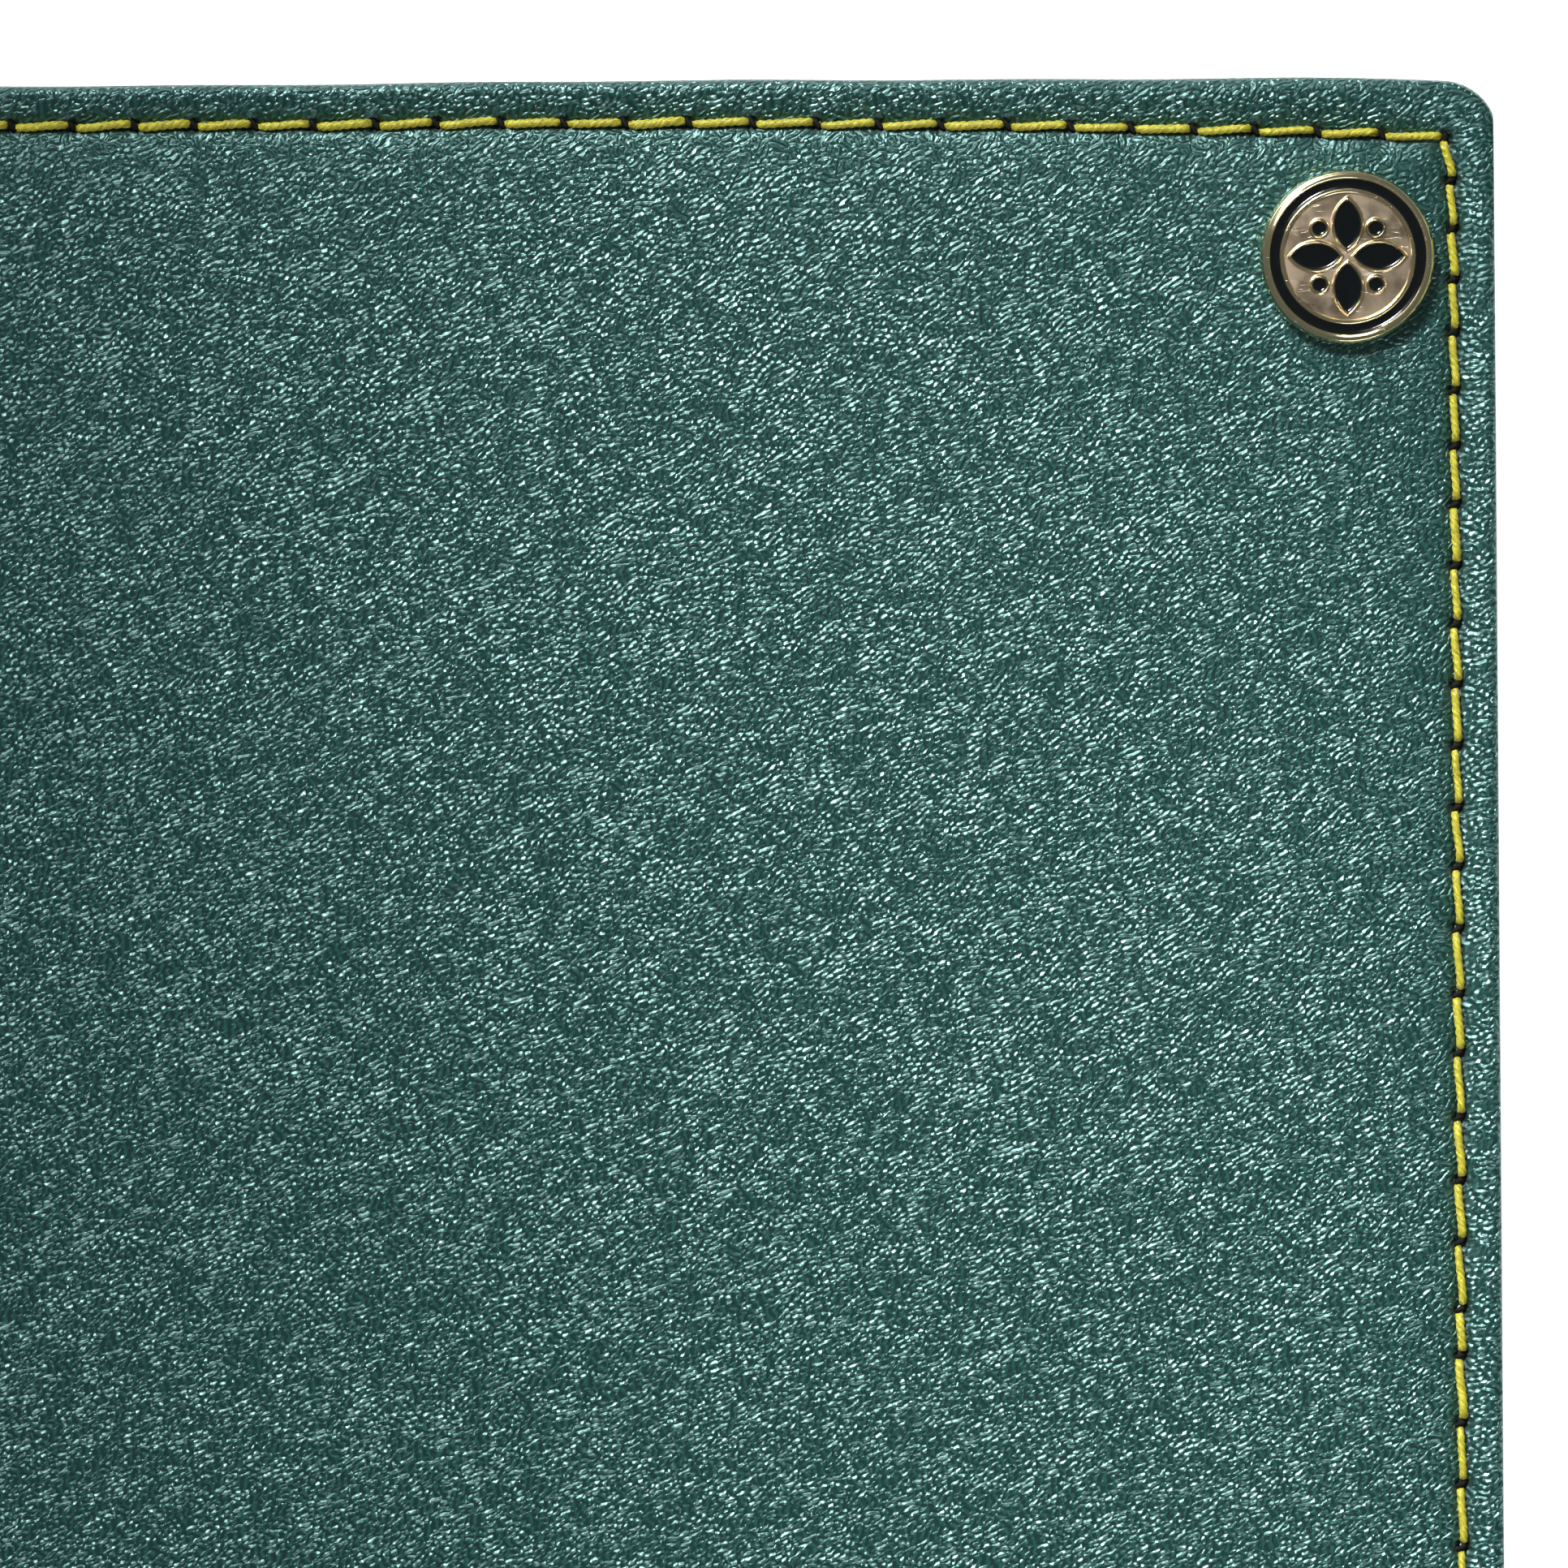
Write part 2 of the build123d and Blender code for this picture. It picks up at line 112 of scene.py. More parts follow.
class Nodes:
    """Builds one material's node tree in few words."""

    def __init__(self, name):
        self.material = bpy.data.materials.new(name)
        self.material.use_nodes = True
        self.tree = self.material.node_tree
        self.tree.nodes.clear()
        out = self.add("ShaderNodeOutputMaterial")
        self.shader = self.add("ShaderNodeBsdfPrincipled")
        self.fill(out, Surface=self.shader.outputs["BSDF"])

    def add(self, kind, **properties):
        node = self.tree.nodes.new(kind)
        for key, value in properties.items():
            setattr(node, key, value)
        return node

    def put(self, value, socket):
        """Links or sets one socket."""
        if isinstance(value, bpy.types.NodeSocket):
            self.tree.links.new(value, socket)
        else:
            socket.default_value = value

    def fill(self, node, *values, **named):
        """Feeds a node's first sockets in order and others by name, and gives its first output."""
        for value, socket in zip(values, node.inputs):
            self.put(value, socket)
        for key, value in named.items():
            self.put(value, node.inputs[key.replace("_", " ")])
        return node.outputs[0] if node.outputs else None

    def surface(self, **values):
        """Sets the shader's own sockets and gives the finished material."""
        self.fill(self.shader, **values)
        return self.material

    def math(self, operation, a, b=0.0):
        return self.fill(self.add("ShaderNodeMath", operation=operation), a, b)

    def mix(self, factor, a, b):
        """A colour between a and b."""
        node = self.add("ShaderNodeMix", data_type="RGBA")
        for value, index in ((factor, 0), (a, 6), (b, 7)):
            self.put(value, node.inputs[index])
        return node.outputs[2]

    def ramp(self, factor, low, high, out_low=0.0, out_high=1.0, smooth=True):
        """Maps low..high to out_low..out_high, clamped."""
        node = self.add("ShaderNodeMapRange", interpolation_type="SMOOTHSTEP" if smooth else "LINEAR")
        return self.fill(node, factor, low, high, out_low, out_high)

    def noise(self, vector, scale, detail=2.0, roughness=0.5, colour=False):
        node = self.add("ShaderNodeTexNoise")
        self.fill(node, Vector=vector, Scale=scale, Detail=detail, Roughness=roughness)
        return node.outputs["Color" if colour else "Fac"]

    def cells(self, vector, scale, feature):
        """Distance in a cell pattern."""
        node = self.add("ShaderNodeTexVoronoi", feature=feature)
        self.fill(node, Vector=vector, Scale=scale)
        return node.outputs["Distance"]

    def mapping(self, vector, scale=(1, 1, 1), turn=0.0, shift=(0, 0, 0), kind="POINT"):
        node = self.add("ShaderNodeMapping", vector_type=kind)
        return self.fill(node, Vector=vector, Scale=scale, Rotation=(0, 0, turn), Location=shift)

    def vector(self, operation, *values, **named):
        return self.fill(self.add("ShaderNodeVectorMath", operation=operation), *values, **named)

    def warp(self, vector, scale, amount):
        """Shifts a position by soft noise."""
        soft = self.noise(vector, scale, detail=1.0, colour=True)
        centred = self.vector("SUBTRACT", soft, (0.5, 0.5, 0.5))
        return self.vector("ADD", vector, self.vector("SCALE", centred, Scale=amount))

    def split(self, vector):
        """A vector's x, y and z."""
        node = self.add("ShaderNodeSeparateXYZ")
        self.fill(node, vector)
        return tuple(node.outputs)

    def bump(self, height, distance, strength=1.0):
        return self.fill(self.add("ShaderNodeBump"), Height=height, Distance=distance, Strength=strength)

    def position(self):
        """Where the point is on the object, in metres; it stays with the piece as it moves."""
        return self.add("ShaderNodeTexCoord").outputs["Object"]

    def flow(self):
        """The piece's own unrolled coordinates, in metres."""
        return self.add("ShaderNodeUVMap", uv_map="flow").outputs[0]

    def attribute(self, name):
        return self.add("ShaderNodeAttribute", attribute_name=name).outputs["Fac"]


def rgb(r, g, b):
    """Linear colour from 0-255 display values."""
    return (*[((c / 255 + 0.055) / 1.055) ** 2.4 if c > 10 else c / 255 / 12.92 for c in (r, g, b)], 1.0)


# ---------------------------------------------------------------- materials


def leather_material():
    """Green leatherette with a worm-like embossed grain."""
    n = Nodes("leatherette")
    flow = n.flow()
    turned = n.mapping(n.warp(flow, 1500.0, 0.00025), scale=(1.3, 0.87, 1.0), turn=math.radians(25),
                       kind="TEXTURE")
    worms = n.add("ShaderNodeTexGabor", gabor_type="2D")
    n.fill(worms, Vector=turned, Scale=1500.0, Frequency=1.68, Anisotropy=0.0)
    wave = n.math("COSINE", n.math("MULTIPLY", worms.outputs["Phase"], 2 * math.pi))
    value = n.math("MULTIPLY", wave, n.ramp(worms.outputs["Intensity"], 0.0, 0.14, 0.5, 1.0))
    ridge = n.ramp(value, -0.75, 0.7)
    fine = n.math("MULTIPLY", n.noise(flow, 7500.0), 0.1)
    broad = n.ramp(n.noise(flow, 42.0), 0.3, 0.7, 0.0, 0.25)
    seam = n.attribute("seam")
    # painted shade: the grain's hollows are coloured darker than its ridges
    tone = n.mix(ridge, rgb(6, 40, 35), rgb(33, 83, 77))
    tone = n.mix(broad, tone, rgb(20, 61, 55))
    # painted shade: near-black where the seam mark lies, along the seam's channel and round the needle holes
    tone = n.mix(n.ramp(seam, 0.1, 0.7), tone, rgb(12, 11, 6))
    rough = n.math("ADD", n.ramp(ridge, 0.0, 1.0, 0.28, 0.25), fine)
    rough = n.math("ADD", rough, n.math("MULTIPLY", seam, 0.4))
    height = n.math("ADD", n.math("POWER", n.ramp(value, -1.0, 1.0, smooth=False), 1.5), fine)
    return n.surface(Base_Color=tone, Roughness=rough, IOR=1.95, Specular_Tint=(0.58, 1.0, 0.97, 1.0),
                     Normal=n.bump(height, 0.00008))


def thread_material(name, deep, pale, sheen=0.2):
    """Twisted thread whose fibres run along the lay; without sheen it is dull."""
    n = Nodes(name)
    fibres = n.noise(n.mapping(n.flow(), scale=(2500, 14000, 1)), 1.0, detail=3.0)
    patch = n.noise(n.position(), 700.0, detail=1.0)
    tone = n.mix(n.ramp(fibres, 0.3, 0.7), deep, pale)
    tone = n.mix(n.ramp(patch, 0.35, 0.75, 0.0, 0.35), tone, deep)
    return n.surface(Base_Color=tone, Roughness=0.5 if sheen else 0.8,
                     Specular_IOR_Level=0.5 if sheen else 0.2,
                     Sheen_Weight=sheen, Sheen_Roughness=0.4, Normal=n.bump(fibres, 0.00003))


def lining_material():
    """Smooth dark leatherette with a faint fine grain."""
    n = Nodes("lining_leatherette")
    place = n.position()
    pebble = n.cells(n.warp(place, 900.0, 0.0004), 2300.0, "SMOOTH_F1")
    tone = n.mix(n.ramp(n.noise(place, 60.0), 0.3, 0.7), rgb(24, 54, 48), rgb(34, 68, 61))
    return n.surface(Base_Color=tone, Roughness=0.55, Normal=n.bump(pebble, 0.00006, 0.8))


def paper_material():
    """Uncoated endpaper: soft fibres, a little mottling."""
    n = Nodes("endpaper")
    place = n.position()
    fibre = n.noise(n.mapping(place, scale=(1.0, 0.5, 1.0)), 2600.0, detail=4.0, roughness=0.6)
    cloud = n.noise(place, 90.0, detail=3.0)
    tone = n.mix(n.ramp(cloud, 0.3, 0.7), rgb(212, 203, 182), rgb(203, 193, 169))
    tone = n.mix(n.ramp(fibre, 0.55, 0.8, 0.0, 0.18), tone, rgb(205, 190, 160))
    return n.surface(Base_Color=tone, Roughness=0.85, Normal=n.bump(fibre, 0.00002, 0.7))


def edge_paper_material():
    """Paper whose cut edges show the separate leaves."""
    n = Nodes("paper_sections")
    place = n.position()
    leaf_thickness = 0.000105
    z = n.split(n.warp(place, 35.0, 0.00018))[2]
    lines = n.ramp(n.math("SINE", n.math("MULTIPLY", z, 2 * math.pi / leaf_thickness)), -0.9, 0.2)
    side = n.attribute("cut")
    streak = n.noise(n.mapping(place, scale=(60, 60, 9000)), 1.0)
    fibre = n.noise(place, 2600.0, detail=4.0, roughness=0.6)
    face = n.mix(n.ramp(fibre, 0.5, 0.85, 0.0, 0.2), rgb(216, 209, 190), rgb(194, 183, 159))
    edge = n.mix(lines, rgb(160, 145, 116), rgb(224, 216, 195))
    edge = n.mix(n.ramp(streak, 0.35, 0.7, 0.0, 0.45), edge, rgb(196, 182, 150))
    relief = n.math("ADD", n.math("MULTIPLY", lines, side), n.math("MULTIPLY", fibre, 0.2))
    return n.surface(Base_Color=n.mix(side, face, edge), Roughness=0.85, Normal=n.bump(relief, 0.00004))


def board_material():
    """Grey-brown binder's board with pressed fibres."""
    n = Nodes("binders_board")
    fleck = n.noise(n.position(), 1500.0, detail=5.0, roughness=0.7)
    tone = n.mix(n.ramp(fleck, 0.35, 0.7), rgb(104, 94, 80), rgb(150, 139, 120))
    return n.surface(Base_Color=tone, Roughness=0.9, Normal=n.bump(fleck, 0.00005))


def foam_material():
    """Fine open-cell padding."""
    n = Nodes("padding_foam")
    open_cell = n.ramp(n.cells(n.position(), 2600.0, "DISTANCE_TO_EDGE"), 0.02, 0.2)
    tone = n.mix(open_cell, rgb(150, 150, 146), rgb(92, 93, 91))
    return n.surface(Base_Color=tone, Roughness=0.95, Normal=n.bump(open_cell, 0.00012))


def gauze_material():
    """Open plain weave."""
    n = Nodes("gauze")
    place = n.position()
    threads_per_metre = 1500
    _, y, z = n.split(n.warp(place, 300.0, 0.0001))
    weave = [n.math("SINE", n.math("MULTIPLY", v, 2 * math.pi * threads_per_metre)) for v in (y, z)]
    over = n.math("MAXIMUM", *weave)
    fibre = n.noise(place, 5200.0, detail=3.0)
    tone = n.mix(n.ramp(over, -0.3, 0.7), rgb(150, 140, 116), rgb(222, 214, 192))
    height = n.math("ADD", over, n.math("MULTIPLY", fibre, 0.4))
    return n.surface(Base_Color=tone, Roughness=0.9, Sheen_Weight=0.2, Normal=n.bump(height, 0.00006))


def gold_material(floor):
    """Pale gold plate: dulled and finely scratched on its floor, rubbed bright on everything raised."""
    n = Nodes("badge_gold")
    place = n.position()
    x, y, z = n.split(place)
    raised = n.ramp(z, (floor + 0.06) * MM, (floor + 0.15) * MM)
    across, along = n.math("SUBTRACT", x, BADGE_X * MM), n.math("SUBTRACT", y, BADGE_Y * MM)
    radius = n.math("SQRT", n.math("ADD", n.math("MULTIPLY", across, across),
                                   n.math("MULTIPLY", along, along)))
    raised = n.math("MAXIMUM", raised, n.ramp(radius, 4.5 * MM, 4.7 * MM))
    hair = 0.0
    for turn, reach, shift in ((0.5, 700.0, 0.0), (1.15, 520.0, 0.3), (2.3, 620.0, 0.7), (2.9, 800.0, 1.1)):
        bent = n.warp(n.mapping(place, shift=(shift, shift, 0.0)), 160.0, 0.0022)
        lines = n.noise(n.mapping(bent, scale=(reach, 15000.0, 400.0), turn=turn), 1.0, detail=1.0)
        hair = n.math("MAXIMUM", hair, n.ramp(lines, 0.71, 0.79))
    scratches = n.math("MULTIPLY", hair, n.ramp(n.noise(place, 620.0), 0.42, 0.62))
    cloud = n.noise(place, 480.0, detail=5.0, roughness=0.6)
    pits = n.noise(place, 6200.0, detail=3.0)
    tone = n.mix(n.ramp(cloud, 0.32, 0.7), rgb(186, 165, 138), rgb(232, 213, 182))
    tone = n.mix(n.ramp(cloud, 0.5, 0.72, 0.0, 0.6), tone, rgb(204, 162, 144))
    tone = n.mix(raised, tone, n.mix(cloud, rgb(226, 212, 156), rgb(250, 240, 200)))
    tone = n.mix(n.math("MULTIPLY", scratches, 0.85), tone, rgb(255, 250, 240))
    rough = n.math("ADD", n.ramp(cloud, 0.3, 0.7, 0.26, 0.42), n.math("MULTIPLY", scratches, 0.2))
    rough = n.math("MINIMUM", rough, n.ramp(raised, 0.0, 1.0, 0.5, 0.15))
    height = n.math("ADD", n.math("MULTIPLY", scratches, 0.5), n.math("MULTIPLY", pits, 0.3))
    return n.surface(Base_Color=tone, Metallic=1.0, Roughness=rough, Normal=n.bump(height, 0.000010))


def steel_material():
    """Plain stamped steel."""
    n = Nodes("washer_steel")
    brushed = n.noise(n.mapping(n.position(), scale=(9000, 700, 700)), 1.0, detail=3.0)
    tone = n.mix(brushed, rgb(150, 150, 150), rgb(196, 196, 196))
    return n.surface(Base_Color=tone, Metallic=1.0, Roughness=n.ramp(brushed, 0.2, 0.8, 0.25, 0.45),
                     Normal=n.bump(brushed, 0.00001))


def enamel_material():
    """Glossy black-green enamel."""
    n = Nodes("enamel")
    speck = n.noise(n.position(), 2600.0, detail=3.0)
    tone = n.mix(n.ramp(speck, 0.5, 0.85, 0.0, 0.4), rgb(5, 10, 12), rgb(14, 26, 26))
    return n.surface(Base_Color=tone, Roughness=n.ramp(speck, 0.3, 0.8, 0.07, 0.16), Coat_Weight=0.4,
                     Coat_Roughness=0.06, Normal=n.bump(speck, 0.000008))


LEATHER = leather_material()
YELLOW = thread_material("yellow_thread", rgb(150, 140, 14), rgb(252, 243, 74))
DARK_THREAD = thread_material("dark_thread", rgb(5, 5, 3), rgb(22, 20, 11), sheen=0.0)
LINEN = thread_material("linen_thread", rgb(186, 176, 150), rgb(228, 220, 198))
LINING_SKIN = lining_material()
PAPER = paper_material()
LEAVES = edge_paper_material()
BOARD = board_material()
FOAM = foam_material()
GAUZE = gauze_material()
STEEL = steel_material()
ENAMEL = enamel_material()

# ---------------------------------------------------------------- mesh helpers


def make_mesh(name, points, faces, uv, marks=None, materials=(), smooth=True, indices=None):
    """A mesh object from points in millimetres. uv and marks hold one row or value per point."""
    mesh = bpy.data.meshes.new(name)
    mesh.from_pydata((np.asarray(points) * MM).tolist(), [], faces)
    loops = np.empty(len(mesh.loops), dtype=np.int64)
    mesh.loops.foreach_get("vertex_index", loops)
    layer = mesh.uv_layers.new(name="flow")
    layer.data.foreach_set("uv", (np.asarray(uv)[loops] * MM).astype(np.float32).ravel())
    for key, values in (marks or {}).items():
        mark = mesh.attributes.new(key, "FLOAT", "POINT")
        mark.data.foreach_set("value", np.asarray(values, np.float32).ravel())
    for material in materials:
        mesh.materials.append(material)
    if indices is not None:
        mesh.polygons.foreach_set("material_index", np.asarray(indices, dtype=np.int32))
    mesh.polygons.foreach_set("use_smooth", np.full(len(mesh.polygons), smooth))
    mesh.validate()
    mesh.update()
    piece = bpy.data.objects.new(name, mesh)
    bpy.context.scene.collection.objects.link(piece)
    return piece


def grid_faces(ids, flip=False):
    """Quads over a 2-D array of point numbers."""
    a, b, c, d = ids[:-1, :-1], ids[1:, :-1], ids[1:, 1:], ids[:-1, 1:]
    quads = np.stack([a, b, c, d], axis=-1).reshape(-1, 4)
    return (quads[:, ::-1] if flip else quads).tolist()


def border(ids):
    """The border of a 2-D array of point numbers, as one loop in order."""
    return np.concatenate([ids[:-1, 0], ids[-1, :-1], ids[:0:-1, -1], ids[0, :0:-1]])


def ring_ids(rows, columns):
    """Point numbers of a grid whose last column joins its first."""
    ids = np.arange(rows * columns).reshape(rows, columns)
    return np.concatenate([ids, ids[:, :1]], axis=1)


def closed_sheet(first, second, flip):
    """Points and faces of a closed sheet between two grids of points."""
    n = first.shape[0] * first.shape[1]
    ids = np.arange(n).reshape(first.shape[:2])
    loop = border(ids)
    wall = np.stack([loop, np.roll(loop, -1), np.roll(loop, -1) + n, loop + n], -1)
    faces = grid_faces(ids, flip=flip) + grid_faces(ids + n, flip=not flip)
    faces += (wall if flip else wall[:, ::-1]).tolist()
    return np.concatenate([first.reshape(-1, 3), second.reshape(-1, 3)]), faces


def rounded_corner(a, b):
    """Square rings made round: where it applies, each point's share of the corner radius, and its angle.
    a and b are how far past the corner's centre a point lies each way, as shares of the radius."""
    with np.errstate(divide="ignore", invalid="ignore"):
        angle = np.where(a >= b, math.pi / 4 * b / np.where(a == 0, 1, a),
                         math.pi / 2 - math.pi / 4 * a / np.where(b == 0, 1, b))
    return (a > 0) & (b > 0), np.maximum(a, b), angle


def smoothstep(x):
    x = np.clip(x, 0, 1)
    return x * x * (3 - 2 * x)


def clean(values, gap=0.04):
    """Sorted values with near-duplicates dropped."""
    kept = []
    for value in sorted(values):
        if not kept or value - kept[-1] > gap:
            kept.append(float(value))
    return np.array(kept)


# ---------------------------------------------------------------- the case's surface
#
# The case is drawn in flat, unrolled coordinates (s, y): s runs from the middle of the spine, over the
# joint and the panel, to the fore-edge and on down its wall; y runs from tail to head and down those walls.

SPINE_LEG = STRIP_Z - MIDDLE_Z  # spine middle to the strip's outer face
TURN_R = 1.2


def case_curve():
    """The outer face's section across the spine, joint and panel, at even steps: length, x, z, nx, nz."""
    pts = []
    for z in np.linspace(MIDDLE_Z, STRIP_Z - TURN_R, 12)[:-1]:
        pts.append((SPINE_OUT, z))
    for a in np.linspace(math.pi, math.pi / 2, 12):
        pts.append((SPINE_OUT + TURN_R + TURN_R * math.cos(a), STRIP_Z - TURN_R + TURN_R * math.sin(a)))
    dip_start, dip_end = PANEL_X - 1.9, PANEL_X + 1.5
    for x in np.linspace(SPINE_OUT + TURN_R + 0.4, dip_start, 6):
        sink = 0.12 * smoothstep((x - SPINE_OUT - TURN_R) / 2.0)
        pts.append((x, STRIP_Z - sink))
    for t in np.linspace(0, 1, 22)[1:]:
        x = dip_start + (dip_end - dip_start) * t
        pts.append((x, STRIP_Z - 0.12 + (TOP_Z - STRIP_Z + 0.12 - 0.05) * smoothstep(t)))
    for x in np.linspace(dip_end + 0.5, EDGE_X, 60):
        pts.append((x, TOP_Z - 0.05 * math.exp(-(x - dip_end) / 1.5)))
    pts = np.array(pts)
    steps = np.hypot(*np.diff(pts, axis=0).T)
    length = np.concatenate([[0], np.cumsum(steps)])
    tangent = np.gradient(pts, length, axis=0)
    tangent /= np.linalg.norm(tangent, axis=1)[:, None]
    return length, pts[:, 0], pts[:, 1], -tangent[:, 1], tangent[:, 0]


CURVE = case_curve()
S_EDGE = CURVE[0][-1]  # s at the fore-edge outline
S_PANEL = float(np.interp(PANEL_X, CURVE[1][12:], CURVE[0][12:]))


def under_face(s, depth):
    """x and z this far under the case's outer face at s."""
    x, z, nx, nz = (np.interp(s, CURVE[0], column) for column in CURVE[1:])
    size = np.hypot(nx, nz)
    return x - nx / size * depth, z - nz / size * depth


def depth_at(s):
    """The case's thickness at s."""
    leg = smoothstep((s - SPINE_LEG + TURN_R) / (2.2 * TURN_R))
    rise = smoothstep((s - S_PANEL + 1.9) / 3.4)
    return SPINE_H + (STRIP_H - SPINE_H) * leg + (PANEL_H - STRIP_H) * rise


ROLL = 0.95  # how far in from the edge the top starts to roll over
ROLL_RADIUS = 0.75
FOOT_RADIUS = 0.3  # where the turned edge rolls under


def roll_radius(thick):
    return np.minimum(ROLL_RADIUS, 0.42 * thick)


def wall_height(thick):
    """The straight part of the turned edge."""
    return thick - roll_radius(thick) - FOOT_RADIUS - 0.06


def edge_profile(d, thick):
    """Inset from the outline and depth below the outer face at a distance d in from the edge along the
    leatherette; d is negative down the wall."""
    over = np.maximum(ROLL - d, 0.0)
    radius = roll_radius(thick)
    quarter = radius * math.pi / 2
    lead = ROLL - radius  # gentle slope before the roll
    a = np.clip((over - lead) / quarter, 0, 1) * math.pi / 2
    wall = wall_height(thick)
    down = np.clip(over - lead - quarter, 0, wall)
    foot = FOOT_RADIUS * math.pi / 2
    b = np.clip((over - lead - quarter - wall) / foot, 0, 1) * math.pi / 2
    under = np.maximum(over - lead - quarter - wall - foot, 0)
    inset = np.where(over <= lead, ROLL - over,
                     radius * (1 - np.sin(a)) + FOOT_RADIUS * (1 - np.cos(b)) + under)
    depth = np.minimum(over, lead) * 0.12 + radius * (1 - np.cos(a)) + down + FOOT_RADIUS * np.sin(b)
    bulge = 0.07 * np.sin(np.clip(down / np.maximum(wall, 1e-3), 0, 1) * math.pi)
    return inset - bulge, depth


def wall_length(thick):
    """How far d runs below zero before the turned edge ends, 1 mm in on the inner face."""
    radius = roll_radius(thick)
    return radius * math.pi / 2 + (thick - radius - 0.36) + FOOT_RADIUS * math.pi / 2 + 0.7 - radius


CORNER_S = S_EDGE - 3.2  # the seam's corner


def seam_inset_head(s):
    """The seam's inset along head and tail: it drifts in towards the fore-edge corner."""
    return 2.45 + 1.35 * np.exp(-np.maximum(CORNER_S - s, 0) / 24.0)


def seam_inset_edge(away):
    """The seam's inset along the fore-edge, by distance from the nearer corner of the seam."""
    return 2.58 + 0.42 * np.exp(-np.maximum(away, 0) / 2.2)


def seam_shape(gap):
    """Depth below the face at this distance from the seam line: positive gap is the padded side."""
    padded = np.exp(-np.abs(gap) / 2.0) * 0.66 + np.exp(-((gap / 0.42) ** 2)) * 0.34
    margin = smoothstep(1 - np.abs(gap) / 2.3) * 0.7 + np.exp(-((gap / 0.36) ** 2)) * 0.3
    return SEAM_DEPTH * np.where(gap > 0, padded, margin)


def hole_leans(holes):
    """The way each crossing between two stitches leans, as unit steps in (s, y)."""
    leans = []
    for i in range(len(holes)):
        step = np.array(holes[min(i + 1, len(holes) - 1)]) - np.array(holes[max(i - 1, 0)])
        step = step / np.linalg.norm(step)
        lean = 0.6 * step - 0.8 * np.array([-step[1], step[0]])
        leans.append((float(lean[0]), float(lean[1])))
    return leans


